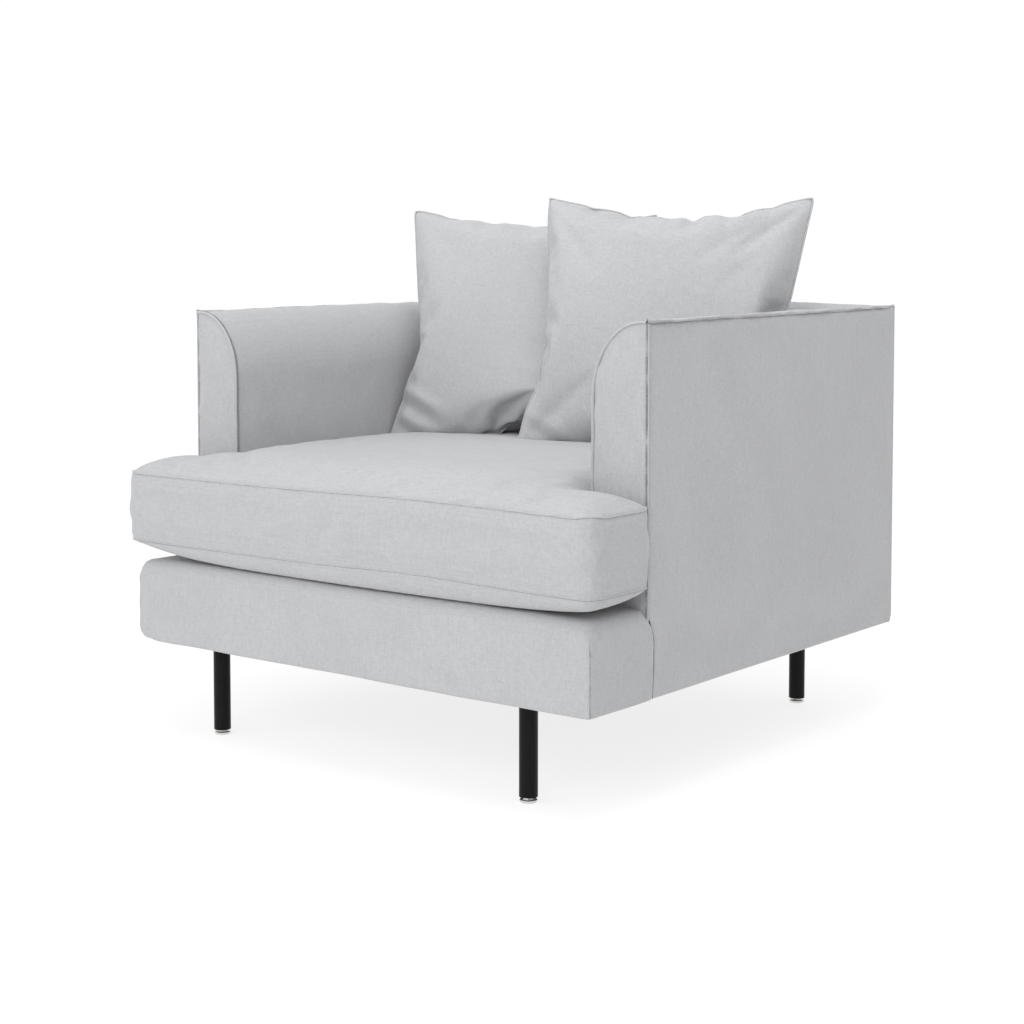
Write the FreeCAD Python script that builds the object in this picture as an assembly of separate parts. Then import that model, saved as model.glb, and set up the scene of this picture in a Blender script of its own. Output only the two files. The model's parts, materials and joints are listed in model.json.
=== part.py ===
"""Upholstered armchair with slim rolled-top track arms, a T-shaped seat cushion, two loose
back pillows and four round steel legs.  Millimetres, +Z up, the sitter faces -Y.

The origin is on the floor, under the middle of the chair's overall width and depth.
The inside of the chair is built from the outside in: cover, panel, wood, springs and foam.
"""

import FreeCAD, Part
import math
import os

V = FreeCAD.Vector

# ---------------------------------------------------------------- driving dimensions
CUSHION_WIDTH = 968.0
OVERALL_DEPTH = 941.0
CHAIR_WIDTH = 960.0
CHAIR_DEPTH = 937.0

BASE_BOTTOM = 157.0
BASE_TOP = 297.0
BASE_TOP_RADIUS = 20.0
BASE_CORNER_RADIUS = 10.0

ARM_THICKNESS = 97.0
ARM_SETBACK = 147.5
ARM_TOP_FRONT = 718.0
ARM_TOP_BACK = 727.5
ROLL_HEIGHT = 112.0
ROLL_FLAT = 8.0
BACK_THICKNESS = 162.0
INSIDE_BOTTOM = 291.0

COVER = 2.5
PANEL = 3.0
PANEL_DROP = 1.0
WOOD = 25.0
BORDER_FOAM = 12.0
RAIL_TOP = 285.0
DECK_TOP = 304.0
BURLAP = 1.5
DUST_COVER = 1.5
DUST_HOLE_RADIUS = 7.0

CUSHION_BOTTOM = 304.3
CUSHION_TOP = 472.0
CUSHION_SIDE_GAP = 2.5
CUSHION_BACK_GAP = 9.0
CUSHION_PLAN_RADIUS = 30.0
CUSHION_TOP_RADIUS = 24.0
CUSHION_BOTTOM_RADIUS = 14.0
CUSHION_SKIN = 2.0

PILLOW_WIDTH = 478.0
PILLOW_HEIGHT = 448.0
PILLOW_THICKNESS = 164.0
PILLOW_YAW = 20.5
PILLOW_LEAN = 14.0
PILLOW_EDGE = 2.0
PILLOW_SKIN = 2.5
PILLOW_CONCAVITY = 0.03
PILLOW_CLEARANCE = 0.4
PILLOW_LEFT_CENTRE = V(-168.0, 207.0, 690.0)
PILLOW_RIGHT_CENTRE = V(172.0, 196.0, 693.0)

BOARD_SETBACK = 8.0
BOARD_THICKNESS = 18.0
BOARD_MARGIN = 4.0
POST_DEPTH = 50.0
ARM_RAIL_DROP = 30.0
BACK_RAIL_DROP = 32.0
RAIL_HEIGHT = 60.0
TACK_RAIL_BOTTOM = 340.0
TACK_RAIL_TOP = 390.0
STRETCHER_WIDTH = 44.0

WEBBING_COUNT = 5
WEBBING_SPACING = 130.0
WEBBING_WIDTH = 50.0
WEBBING_THICKNESS = 1.5
WEBBING_OVERLAP = 2.0

WELT_RADIUS = 2.0
WELT_SET_IN = 0.5
WELT_CLEARANCE = 0.3

LEG_RADIUS = 14.3
LEG_WALL = 1.5
LEG_CAP = 2.0
LEG_INSET_SIDE = 149.5
LEG_INSET_FRONT = 57.0
LEG_INSET_BACK = 70.0
STUD_RADIUS = 4.9
STUD_LENGTH = 33.0
BLOCK_SIZE = 100.0
BLOCK_HEIGHT = 45.0
T_NUT_BARREL_RADIUS = 6.5
T_NUT_BARREL_LENGTH = 18.0
T_NUT_FLANGE_RADIUS = 11.0
T_NUT_FLANGE_THICKNESS = 1.6
T_NUT_BORE_RADIUS = 5.0
INSERT_LENGTH = 20.0
INSERT_BORE_RADIUS = 4.0
GLIDE_HEIGHT = 9.0
GLIDE_RADIUS = 13.6
GLIDE_FOOT_HEIGHT = 5.4
GLIDE_HEX_RADIUS = 8.0
GLIDE_HEX_HEIGHT = 3.2
GLIDE_STEM_RADIUS = 3.9
GLIDE_STEM_LENGTH = 18.0

SPRING_COUNT = 5
SPRING_SPACING = 140.0
SPRING_WIRE_RADIUS = 1.9
SPRING_LOOP_WIDTH = 50.0
SPRING_LOOP_RADIUS = 10.0
SPRING_LIFT = 0.2
CLIP_WIDTH = 18.0
CLIP_DEPTH = 10.0
CLIP_WALL = 0.3

ZIP_LENGTH = 600.0
ZIP_WIDTH = 26.0
ZIP_TAPE_THICKNESS = 1.2
ZIP_CLEARANCE = 0.3
ZIP_SLIDER_LENGTH = 16.0
ZIP_SLIDER_WIDTH = 10.0
ZIP_SLIDER_HEIGHT = 3.0
ZIP_PULL_OVERHANG = 14.0
ZIP_PULL_WIDTH = 6.0
ZIP_PULL_THICKNESS = 1.2

TALL = 900.0
TOLERANCE = 0.01

# ---------------------------------------------------------------- worked out from the above
X_OUT = CHAIR_WIDTH / 2
X_IN = X_OUT - ARM_THICKNESS
Y_BACK = OVERALL_DEPTH / 2
Y_FRONT = Y_BACK - CHAIR_DEPTH
Y_ARM = Y_FRONT + ARM_SETBACK
Y_INSIDE = Y_BACK - BACK_THICKNESS
X_WOOD = X_OUT - COVER - PANEL
Y_WOOD_FRONT = Y_FRONT + COVER + BORDER_FOAM
Y_WOOD_BACK = Y_BACK - COVER - PANEL
Z_FRAME = BASE_BOTTOM + DUST_COVER
ARM_RISE = (ARM_TOP_BACK - ARM_TOP_FRONT) / (Y_BACK - Y_ARM)
LEG_X = X_OUT - LEG_INSET_SIDE
LEG_SPOTS = {
    "front_left": V(-LEG_X, Y_FRONT + LEG_INSET_FRONT, 0),
    "front_right": V(LEG_X, Y_FRONT + LEG_INSET_FRONT, 0),
    "back_left": V(-LEG_X, Y_BACK - LEG_INSET_BACK, 0),
    "back_right": V(LEG_X, Y_BACK - LEG_INSET_BACK, 0),
}
SIDES = ("left", "right")


# ---------------------------------------------------------------- small helpers
def box(x0, x1, y0, y1, z0, z1):
    """A block between two corners."""
    return Part.makeBox(x1 - x0, y1 - y0, z1 - z0, V(x0, y0, z0))


def rod(radius, z0, z1, at):
    """An upright cylinder over a plan point."""
    return Part.makeCylinder(radius, z1 - z0, V(at.x, at.y, z0))


def on_side(shape, side):
    """Parts are drawn on the sitter's +X side and mirrored for the other one."""
    if side == "right":
        return shape
    return shape.mirror(V(0, 0, 0), V(1, 0, 0))


def save(name, shape):
    """Write one sub-part to its own file."""
    shape.exportStep(os.path.join("parts", name + ".step"))
    print(f"{name:28s} solids {len(shape.Solids):3d}  volume {shape.Volume / 1000:10.1f} cm3")


def fillet(shape, radius, wanted):
    """Round the edges for which wanted(edge) is true."""
    edges = [edge for edge in shape.Edges if wanted(edge)]
    return shape.makeFillet(radius, edges)


def is_upright(edge):
    box_ = edge.BoundBox
    return box_.XLength < TOLERANCE and box_.YLength < TOLERANCE


# ---------------------------------------------------------------- arms and back
def rolled_outline(outer, inner, top, bottom, skin):
    """Outline of an arm or back in plan distance u and height z: an upright outer edge at
    u = outer, then a quarter-ellipse roll that falls to the upright inner edge at u = inner."""
    centre_u = outer - ROLL_FLAT
    centre_z = top - ROLL_HEIGHT
    half_u = centre_u - inner - skin
    half_z = ROLL_HEIGHT - skin
    steps = 24
    roll = []
    for i in range(steps + 1):
        turn = math.radians(90.0 * i / steps)
        roll.append(V(centre_u - half_u * math.sin(turn), 0, centre_z + half_z * math.cos(turn)))
    curve = Part.BSplineCurve()
    curve.interpolate(roll)
    low_inner = V(inner + skin, 0, bottom)
    low_outer = V(outer - skin, 0, bottom)
    top_outer = V(outer - skin, 0, centre_z + half_z)
    edges = [
        Part.makeLine(low_inner, low_outer),
        Part.makeLine(low_outer, top_outer),
        Part.makeLine(top_outer, roll[0]),
        curve.toShape(),
        Part.makeLine(roll[-1], low_inner),
    ]
    return Part.Wire(edges)


def arm_volume(skin, bottom):
    """The right arm, shrunk by a skin on its front, top and both sides, up to the mitre."""
    start = Y_ARM + skin
    rise = ARM_RISE * (Y_BACK - start)
    wire = rolled_outline(X_OUT, X_IN, ARM_TOP_FRONT + ARM_RISE * skin, bottom - 40.0, skin)
    wire.translate(V(0, start, 0))
    prism = Part.Face(wire).extrude(V(0, Y_BACK - start, rise))
    prism = prism.common(box(0, X_OUT, start, Y_BACK, bottom, TALL))
    return prism.cut(mitre_block())


def mitre_block():
    """Everything on the back's side of the line from the inside corner to the outside corner."""
    inner = V(X_IN, Y_INSIDE, 0)
    outer = V(X_OUT, Y_BACK, 0)
    along = (outer - inner).normalize()
    far_out = outer + along * 100.0
    far_in = inner - along * 100.0
    points = [far_in, far_out, V(-X_OUT, far_out.y + 200.0, 0), V(-X_OUT, far_in.y, 0)]
    return Part.Face(Part.makePolygon(points + [points[0]])).extrude(V(0, 0, TALL))


def back_volume(skin, bottom):
    """The back between its two mitres, shrunk by a skin on its faces and top."""
    wire = rolled_outline(Y_BACK, Y_INSIDE, ARM_TOP_BACK, bottom, skin)
    wire.rotate(V(0, 0, 0), V(0, 0, 1), 90)
    wire.translate(V(X_OUT, 0, 0))
    prism = Part.Face(wire).extrude(V(-2 * X_OUT, 0, 0))
    prism = prism.common(mitre_block())
    return prism.common(mitre_block().mirror(V(0, 0, 0), V(1, 0, 0)))


def arm_wood():
    """Right arm: front board, front post and top rail, in order from the front."""
    front = Y_ARM + COVER + BOARD_SETBACK
    post_front = front + BOARD_THICKNESS
    post_back = post_front + POST_DEPTH
    rail_back = Y_WOOD_BACK - 2 * WOOD
    inner = X_WOOD - WOOD
    top = ARM_TOP_FRONT - ARM_RAIL_DROP
    board = arm_volume(COVER + BOARD_MARGIN, INSIDE_BOTTOM)
    board = board.common(box(0, X_WOOD, front, post_front, INSIDE_BOTTOM, TALL))
    post = box(inner, X_WOOD, post_front, post_back, RAIL_TOP, top)
    rail = box(inner, X_WOOD, post_back, rail_back, top - RAIL_HEIGHT, top)
    return board, post, rail


def back_wood():
    """Two back posts, the top rail between them and the tack rail under the inside back."""
    inner = X_WOOD - WOOD
    top = ARM_TOP_BACK - BACK_RAIL_DROP
    right_post = box(inner, X_WOOD, Y_WOOD_BACK - 2 * WOOD, Y_WOOD_BACK, RAIL_TOP, top)
    posts = {side: on_side(right_post, side) for side in SIDES}
    front = Y_WOOD_BACK - WOOD
    top_rail = box(-inner, inner, front, Y_WOOD_BACK, top - RAIL_HEIGHT, top)
    tack_rail = box(-inner, inner, front, Y_WOOD_BACK, TACK_RAIL_BOTTOM, TACK_RAIL_TOP)
    return posts, top_rail, tack_rail


def back_webbing():
    """Upright elastic webbing straps on the front of the top rail and the tack rail."""
    back = Y_WOOD_BACK - WOOD
    front = back - WEBBING_THICKNESS
    bottom = TACK_RAIL_BOTTOM + WEBBING_OVERLAP
    top = ARM_TOP_BACK - BACK_RAIL_DROP - WEBBING_OVERLAP
    straps = []
    for i in range(WEBBING_COUNT):
        x = (i - (WEBBING_COUNT - 1) / 2) * WEBBING_SPACING
        straps.append(box(x - WEBBING_WIDTH / 2, x + WEBBING_WIDTH / 2, front, back, bottom, top))
    return Part.makeCompound(straps)


def arm_welt():
    """Round piping along the right arm's front edge, up its inner side and over the roll."""
    wire = rolled_outline(X_OUT, X_IN, ARM_TOP_FRONT, DECK_TOP + WELT_CLEARANCE, WELT_SET_IN)
    wire.translate(V(0, Y_ARM + WELT_SET_IN, 0))
    path = Part.Wire([wire.Edges[3], wire.Edges[4]])
    start = path.Edges[0].Vertexes[0].Point
    ring = Part.Wire([Part.makeCircle(WELT_RADIUS, start, V(1, 0, 0))])
    return path.makePipeShell([ring], True, False)


# ---------------------------------------------------------------- base
def base_front(skin):
    """The full-width block of the base in front of the arms, with its rounded edges."""
    x = X_OUT - skin
    y = Y_FRONT + skin
    block = box(-x, x, y, Y_ARM + 30.0, BASE_BOTTOM, BASE_TOP - skin)

    def in_front(edge):
        return edge.BoundBox.YMin < Y_ARM

    rim = BASE_TOP - skin - TOLERANCE
    block = fillet(block, BASE_CORNER_RADIUS, lambda edge: is_upright(edge) and in_front(edge))
    block = fillet(block, BASE_TOP_RADIUS - skin, lambda edge: edge.BoundBox.ZMin > rim and in_front(edge))
    return block.common(box(-X_OUT, X_OUT, Y_FRONT, Y_ARM, BASE_BOTTOM, BASE_TOP))


def base_parts():
    """Cover and padding of the front border, its side returns and its top."""
    room = box(-X_WOOD, X_WOOD, Y_WOOD_FRONT, Y_ARM, Z_FRAME - 10.0, INSIDE_BOTTOM)
    inside = base_front(COVER)
    cover = base_front(0.0).cut(inside)
    foam = inside.cut(room).common(box(-X_OUT, X_OUT, Y_FRONT, Y_ARM, Z_FRAME, BASE_TOP))
    return cover, foam


def rails():
    """The four rails of the seat frame."""
    inner = X_WOOD - WOOD
    return {
        "front_rail": box(-X_WOOD, X_WOOD, Y_WOOD_FRONT, Y_WOOD_FRONT + WOOD, Z_FRAME, RAIL_TOP),
        "back_rail": box(-X_WOOD, X_WOOD, Y_WOOD_BACK - WOOD, Y_WOOD_BACK, Z_FRAME, RAIL_TOP),
        "side_rail_left": box(-X_WOOD, -inner, Y_WOOD_FRONT + WOOD, Y_WOOD_BACK - WOOD, Z_FRAME, RAIL_TOP),
        "side_rail_right": box(inner, X_WOOD, Y_WOOD_FRONT + WOOD, Y_WOOD_BACK - WOOD, Z_FRAME, RAIL_TOP),
    }


def leg_blocks():
    """Four glued blocks against the rails, each bored for a leg's T-nut."""
    blocks = []
    for spot in LEG_SPOTS.values():
        if spot.y < 0:
            y0 = Y_WOOD_FRONT + WOOD
        else:
            y0 = Y_WOOD_BACK - WOOD - BLOCK_SIZE
        x0 = spot.x - BLOCK_SIZE / 2
        block = box(x0, x0 + BLOCK_SIZE, y0, y0 + BLOCK_SIZE, Z_FRAME, Z_FRAME + BLOCK_HEIGHT)
        blocks.append(block.cut(rod(T_NUT_BARREL_RADIUS, Z_FRAME, Z_FRAME + BLOCK_HEIGHT, spot)))
    return Part.makeCompound(blocks)


def seat_stretchers():
    """Two stretchers between the leg blocks, front to back, that stiffen the seat frame."""
    y0 = Y_WOOD_FRONT + WOOD + BLOCK_SIZE
    y1 = Y_WOOD_BACK - WOOD - BLOCK_SIZE
    bars = []
    for x in (-LEG_X, LEG_X):
        x0 = x - STRETCHER_WIDTH / 2
        bars.append(box(x0, x0 + STRETCHER_WIDTH, y0, y1, Z_FRAME, Z_FRAME + BLOCK_HEIGHT))
    return Part.makeCompound(bars)


# ---------------------------------------------------------------- suspension
def sinuous_spring(x):
    """One zigzag spring between the front and the back rail, of runs and half circles."""
    z = RAIL_TOP + SPRING_WIRE_RADIUS + SPRING_LIFT
    y = Y_WOOD_FRONT + WOOD / 2
    end = Y_WOOD_BACK - WOOD / 2
    pitch = 2 * SPRING_LOOP_RADIUS
    loops = int((end - y) / pitch)
    half = SPRING_LOOP_WIDTH / 2 - SPRING_LOOP_RADIUS
    side = 1
    edges = [Part.makeLine(V(x - half, y, z), V(x + half, y, z))]
    for i in range(loops):
        low = V(x + side * half, y, z)
        high = V(x + side * half, y + pitch, z)
        middle = V(x + side * (half + SPRING_LOOP_RADIUS), y + SPRING_LOOP_RADIUS, z)
        edges.append(Part.Arc(low, middle, high).toShape())
        y += pitch
        edges.append(Part.makeLine(high, V(x - side * half, y, z)))
        side = -side
    path = Part.Wire(edges)
    start = path.Edges[0].Vertexes[0].Point
    ring = Part.Wire([Part.makeCircle(SPRING_WIRE_RADIUS, start, V(1, 0, 0))])
    return path.makePipeShell([ring], True, False), y


def suspension():
    """All the springs and the clips that hold their ends on the rails."""
    springs = []
    clips = []
    half = CLIP_WIDTH / 2
    slot = SPRING_WIRE_RADIUS + SPRING_LIFT
    roof = RAIL_TOP + slot + SPRING_WIRE_RADIUS + CLIP_WALL / 3
    for i in range(SPRING_COUNT):
        x = (i - (SPRING_COUNT - 1) / 2) * SPRING_SPACING
        spring, last_y = sinuous_spring(x)
        springs.append(spring)
        for y in (Y_WOOD_FRONT + WOOD / 2, last_y):
            outer_y = CLIP_DEPTH / 2
            clip = box(x - half, x + half, y - outer_y, y + outer_y, RAIL_TOP, roof + CLIP_WALL)
            groove = box(x - half - 1, x + half + 1, y - slot, y + slot, RAIL_TOP + CLIP_WALL / 6, roof)
            clips.append(clip.cut(groove))
    return Part.makeCompound(springs), Part.makeCompound(clips)


# ---------------------------------------------------------------- legs
def leg(spot):
    """A round steel tube with a welded cap and a threaded stud that screws up into the block."""
    tube = rod(LEG_RADIUS, GLIDE_HEIGHT, BASE_BOTTOM, spot)
    hollow = rod(LEG_RADIUS - LEG_WALL, GLIDE_HEIGHT, BASE_BOTTOM - LEG_CAP, spot)
    stud = rod(STUD_RADIUS, BASE_BOTTOM, BASE_BOTTOM + STUD_LENGTH, spot)
    return tube.cut(hollow).fuse(stud).removeSplitter()


def leg_insert(spot):
    """The threaded plug in the bottom of a leg tube."""
    plug = rod(LEG_RADIUS - LEG_WALL, GLIDE_HEIGHT, GLIDE_HEIGHT + INSERT_LENGTH, spot)
    return plug.cut(rod(INSERT_BORE_RADIUS, GLIDE_HEIGHT, GLIDE_HEIGHT + INSERT_LENGTH, spot))


def t_nut(spot):
    """A T-nut: a flange on top of the block and a threaded barrel around the stud."""
    top = Z_FRAME + BLOCK_HEIGHT
    bottom = top - T_NUT_BARREL_LENGTH
    rim = top + T_NUT_FLANGE_THICKNESS
    barrel = rod(T_NUT_BARREL_RADIUS, bottom, top, spot)
    flange = rod(T_NUT_FLANGE_RADIUS, top, rim, spot)
    bore = rod(T_NUT_BORE_RADIUS, bottom, rim, spot)
    return barrel.fuse(flange).cut(bore).removeSplitter()


def glide(spot):
    """A levelling glide: a domed foot, a hexagon for the spanner, and its threaded stem."""
    foot_top = GLIDE_FOOT_HEIGHT
    hex_top = foot_top + GLIDE_HEX_HEIGHT
    profile = [
        V(0, 0, 0),
        V(GLIDE_RADIUS - 1.6, 0, 0),
        V(GLIDE_RADIUS, 0, 1.6),
        V(GLIDE_RADIUS, 0, foot_top - 1.0),
        V(GLIDE_RADIUS - 1.2, 0, foot_top),
        V(0, 0, foot_top),
    ]
    foot = Part.Face(Part.makePolygon(profile + [profile[0]])).revolve(V(0, 0, 0), V(0, 0, 1), 360)
    corners = []
    for i in range(6):
        turn = math.radians(60 * i)
        corners.append(V(GLIDE_HEX_RADIUS * math.cos(turn), GLIDE_HEX_RADIUS * math.sin(turn), foot_top))
    hexagon = Part.Face(Part.makePolygon(corners + [corners[0]])).extrude(V(0, 0, GLIDE_HEX_HEIGHT))
    stem = Part.makeCylinder(GLIDE_STEM_RADIUS, GLIDE_STEM_LENGTH, V(0, 0, hex_top))
    whole = foot.fuse([hexagon, stem]).removeSplitter()
    whole.translate(spot)
    return whole


# ---------------------------------------------------------------- seat cushion
def cushion_volume(skin):
    """The boxed T-shaped seat cushion: full width in front of the arms, narrower between them."""
    wide = CUSHION_WIDTH / 2 - skin
    narrow = X_IN - CUSHION_SIDE_GAP - skin
    front = -OVERALL_DEPTH / 2 + skin
    notch = Y_ARM - CUSHION_SIDE_GAP - skin
    rear = Y_INSIDE - CUSHION_BACK_GAP - skin
    bottom = CUSHION_BOTTOM + skin
    outline = [
        V(-wide, front, bottom),
        V(wide, front, bottom),
        V(wide, notch, bottom),
        V(narrow, notch, bottom),
        V(narrow, rear, bottom),
        V(-narrow, rear, bottom),
        V(-narrow, notch, bottom),
        V(-wide, notch, bottom),
    ]
    face = Part.Face(Part.makePolygon(outline + [outline[0]]))
    body = face.extrude(V(0, 0, CUSHION_TOP - CUSHION_BOTTOM - 2 * skin))

    def convex(edge):
        at = edge.BoundBox.Center
        return is_upright(edge) and not (abs(abs(at.x) - narrow) < 1 and abs(at.y - notch) < 1)

    body = fillet(body, CUSHION_PLAN_RADIUS - skin, convex)
    top = CUSHION_TOP - skin - TOLERANCE
    body = fillet(body, CUSHION_TOP_RADIUS - skin, lambda edge: edge.BoundBox.ZMin > top)
    floor = bottom + TOLERANCE
    return fillet(body, CUSHION_BOTTOM_RADIUS - skin, lambda edge: edge.BoundBox.ZMax < floor)


def cushion_zip():
    """Zip tape on the cushion's rear boxing, and its slider at the closed end."""
    rear = Y_INSIDE - CUSHION_BACK_GAP
    middle = (CUSHION_BOTTOM + CUSHION_TOP) / 2
    end = ZIP_LENGTH / 2
    low = middle - ZIP_WIDTH / 2
    tape = box(-end, end, rear, rear + ZIP_TAPE_THICKNESS, low, low + ZIP_WIDTH)

    def block(x0, x1, y0, y1, width):
        return box(x0, x1, y0, y1, middle - width / 2, middle + width / 2)

    face = rear + ZIP_TAPE_THICKNESS + ZIP_CLEARANCE
    top = face + ZIP_SLIDER_HEIGHT
    start = end - ZIP_SLIDER_LENGTH
    tip = start - ZIP_PULL_OVERHANG
    body = block(start, end, face, top, ZIP_SLIDER_WIDTH)
    pull = block(tip, end - 4.0, top, top + ZIP_PULL_THICKNESS, ZIP_PULL_WIDTH)
    hole = block(tip + 3.0, start - 3.0, face, top + 2 * ZIP_PULL_THICKNESS, ZIP_PULL_WIDTH / 2)
    return tape, body.fuse(pull).cut(hole).removeSplitter()


# ---------------------------------------------------------------- pillows
def pillow_face(width, height, thickness, side):
    """One crowned face of a pillow, in its own frame: X across, Z up, Y through."""
    steps = 16
    rows = []
    for j in range(steps + 1):
        v = math.sin(math.radians(-90.0 + 180.0 * j / steps))
        row = []
        for i in range(steps + 1):
            u = math.sin(math.radians(-90.0 + 180.0 * i / steps))
            crown = (max(0.0, 1 - u * u) * max(0.0, 1 - v * v)) ** 0.55
            x = width / 2 * u * (1 - PILLOW_CONCAVITY * (1 - v * v))
            z = height / 2 * v * (1 - PILLOW_CONCAVITY * (1 - u * u))
            rise = (PILLOW_EDGE + (thickness - PILLOW_EDGE) * crown) / 2
            row.append(V(x, side * rise, z))
        rows.append(row)
    surface = Part.BSplineSurface()
    surface.interpolate(rows)
    return surface.toShape()


def pillow_volume(skin, centre):
    """A knife-edge pillow, leaned back and turned, with its far corner clear of the right arm."""
    width = PILLOW_WIDTH - 2 * skin
    height = PILLOW_HEIGHT - 2 * skin
    front = pillow_face(width, height, PILLOW_THICKNESS - 2 * skin, -1)
    back = pillow_face(width, height, PILLOW_THICKNESS - 2 * skin, 1)
    faces = [front, back]
    for front_edge in front.Edges:
        middle = front_edge.valueAt((front_edge.FirstParameter + front_edge.LastParameter) / 2)
        across = V(middle.x, -middle.y, middle.z)
        twin = min(back.Edges, key=lambda edge: edge.distToShape(Part.Vertex(across))[0])
        faces.append(Part.makeRuledSurface(front_edge, twin))
    shell = Part.makeShell(faces)
    shell.sewShape()
    solid = Part.makeSolid(shell)
    if solid.Volume < 0:
        solid.reverse()
    solid.rotate(V(0, 0, 0), V(1, 0, 0), -PILLOW_LEAN)
    solid.rotate(V(0, 0, 0), V(0, 0, 1), PILLOW_YAW)
    solid.translate(centre)
    limit = X_IN - CUSHION_SIDE_GAP - skin
    floor = CUSHION_TOP + PILLOW_CLEARANCE + skin
    return solid.common(box(-limit, limit, Y_FRONT, Y_BACK, floor, 2 * TALL))


# ---------------------------------------------------------------- put it together
def main():
    os.makedirs("parts", exist_ok=True)
    parts = {}

    parts.update(rails())
    parts["leg_blocks"] = leg_blocks()
    parts["seat_stretchers"] = seat_stretchers()
    springs, clips = suspension()
    parts["sinuous_springs"] = springs
    parts["spring_clips"] = clips
    burlap_x = X_WOOD - WOOD
    parts["deck_burlap"] = box(
        -burlap_x, burlap_x, Y_WOOD_FRONT, Y_INSIDE, INSIDE_BOTTOM - BURLAP, INSIDE_BOTTOM
    )
    parts["deck_foam"] = box(-X_IN, X_IN, Y_ARM, Y_INSIDE, INSIDE_BOTTOM, DECK_TOP - COVER)
    parts["deck_cover"] = box(-X_IN, X_IN, Y_ARM, Y_INSIDE, DECK_TOP - COVER, DECK_TOP)

    board, post, arm_rail = arm_wood()
    back_posts, top_rail, tack_rail = back_wood()
    webbing = back_webbing()
    parts["back_top_rail"] = top_rail
    parts["back_tack_rail"] = tack_rail
    parts["back_webbing"] = webbing

    core = arm_volume(COVER, INSIDE_BOTTOM)
    core = core.common(box(0, X_WOOD, Y_ARM, Y_BACK, INSIDE_BOTTOM, TALL))
    core = core.cut(box(0, X_OUT, Y_WOOD_BACK, Y_BACK, 0, TALL))
    arm_foam = core.cut(Part.makeCompound([board, post, arm_rail, back_posts["right"]]))
    outside_slab = box(X_OUT - COVER, X_OUT, Y_ARM, Y_BACK, BASE_BOTTOM, TALL)
    panel_top = ARM_TOP_FRONT - COVER - PANEL_DROP
    panel = box(X_WOOD, X_WOOD + PANEL, Y_ARM + COVER, Y_WOOD_BACK, Z_FRAME, panel_top)
    whole_arm = arm_volume(0.0, BASE_BOTTOM)
    outside_cover = outside_slab.common(whole_arm)
    welt = arm_welt()
    arm_cover = arm_volume(0.0, INSIDE_BOTTOM).cut(arm_volume(COVER, INSIDE_BOTTOM))
    arm_cover = arm_cover.cut(Part.makeCompound([outside_slab, welt]))
    arm_cover = arm_cover.cut(box(0, X_OUT, Y_BACK - COVER, Y_BACK, 0, TALL))
    for side in SIDES:
        parts["arm_front_board_" + side] = on_side(board, side)
        parts["arm_front_post_" + side] = on_side(post, side)
        parts["arm_top_rail_" + side] = on_side(arm_rail, side)
        parts["back_post_" + side] = back_posts[side]
        parts["side_panel_" + side] = on_side(panel, side)
        parts["arm_foam_" + side] = on_side(arm_foam, side)
        parts["arm_cover_" + side] = on_side(arm_cover, side)
        parts["outside_arm_cover_" + side] = on_side(outside_cover, side)
        parts["arm_welt_" + side] = on_side(welt, side)

    back_core = back_volume(COVER, INSIDE_BOTTOM)
    back_core = back_core.common(box(-X_WOOD, X_WOOD, Y_INSIDE, Y_WOOD_BACK, INSIDE_BOTTOM, TALL))
    wood = Part.makeCompound([top_rail, tack_rail, webbing] + list(back_posts.values()))
    parts["back_foam"] = back_core.cut(wood)
    inside_back = back_volume(0.0, INSIDE_BOTTOM).cut(back_volume(COVER, INSIDE_BOTTOM))
    parts["inside_back_cover"] = inside_back.cut(box(-X_OUT, X_OUT, Y_BACK - COVER, Y_BACK, 0, TALL))
    parts["outside_back_cover"] = box(-X_OUT, X_OUT, Y_BACK - COVER, Y_BACK, BASE_BOTTOM, ARM_TOP_BACK)
    parts["outside_back_cover"] = parts["outside_back_cover"].cut(
        Part.makeCompound([parts["outside_arm_cover_left"], parts["outside_arm_cover_right"]])
    )
    parts["back_panel"] = box(
        -X_WOOD, X_WOOD, Y_WOOD_BACK, Y_BACK - COVER, Z_FRAME, ARM_TOP_BACK - COVER - PANEL_DROP
    )

    parts["base_cover"], parts["base_foam"] = base_parts()
    dust_cover = box(-X_WOOD, X_WOOD, Y_WOOD_FRONT, Y_WOOD_BACK, BASE_BOTTOM, Z_FRAME)
    for name, spot in LEG_SPOTS.items():
        dust_cover = dust_cover.cut(rod(DUST_HOLE_RADIUS, 0, Z_FRAME, spot))
        parts["leg_" + name] = leg(spot)
        parts["glide_" + name] = glide(spot)
    parts["dust_cover"] = dust_cover
    parts["leg_inserts"] = Part.makeCompound([leg_insert(spot) for spot in LEG_SPOTS.values()])
    parts["t_nuts"] = Part.makeCompound([t_nut(spot) for spot in LEG_SPOTS.values()])

    cushion_foam = cushion_volume(CUSHION_SKIN)
    parts["seat_cushion_foam"] = cushion_foam
    parts["seat_cushion_cover"] = cushion_volume(0.0).cut(cushion_foam)
    parts["cushion_zip_tape"], parts["cushion_zip_slider"] = cushion_zip()

    for side, centre in (("left", PILLOW_LEFT_CENTRE), ("right", PILLOW_RIGHT_CENTRE)):
        filling = pillow_volume(PILLOW_SKIN, centre)
        parts["pillow_insert_" + side] = filling
        parts["pillow_cover_" + side] = pillow_volume(0.0, centre).cut(filling)

    for name, shape in parts.items():
        save(name, shape)


main()
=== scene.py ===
"""Looks of the upholstered armchair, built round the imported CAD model.  Metres, +Z up, front is -Y."""

import json
import math

import bmesh
import bpy
import numpy as np
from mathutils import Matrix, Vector
from mathutils.bvhtree import BVHTree


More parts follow.
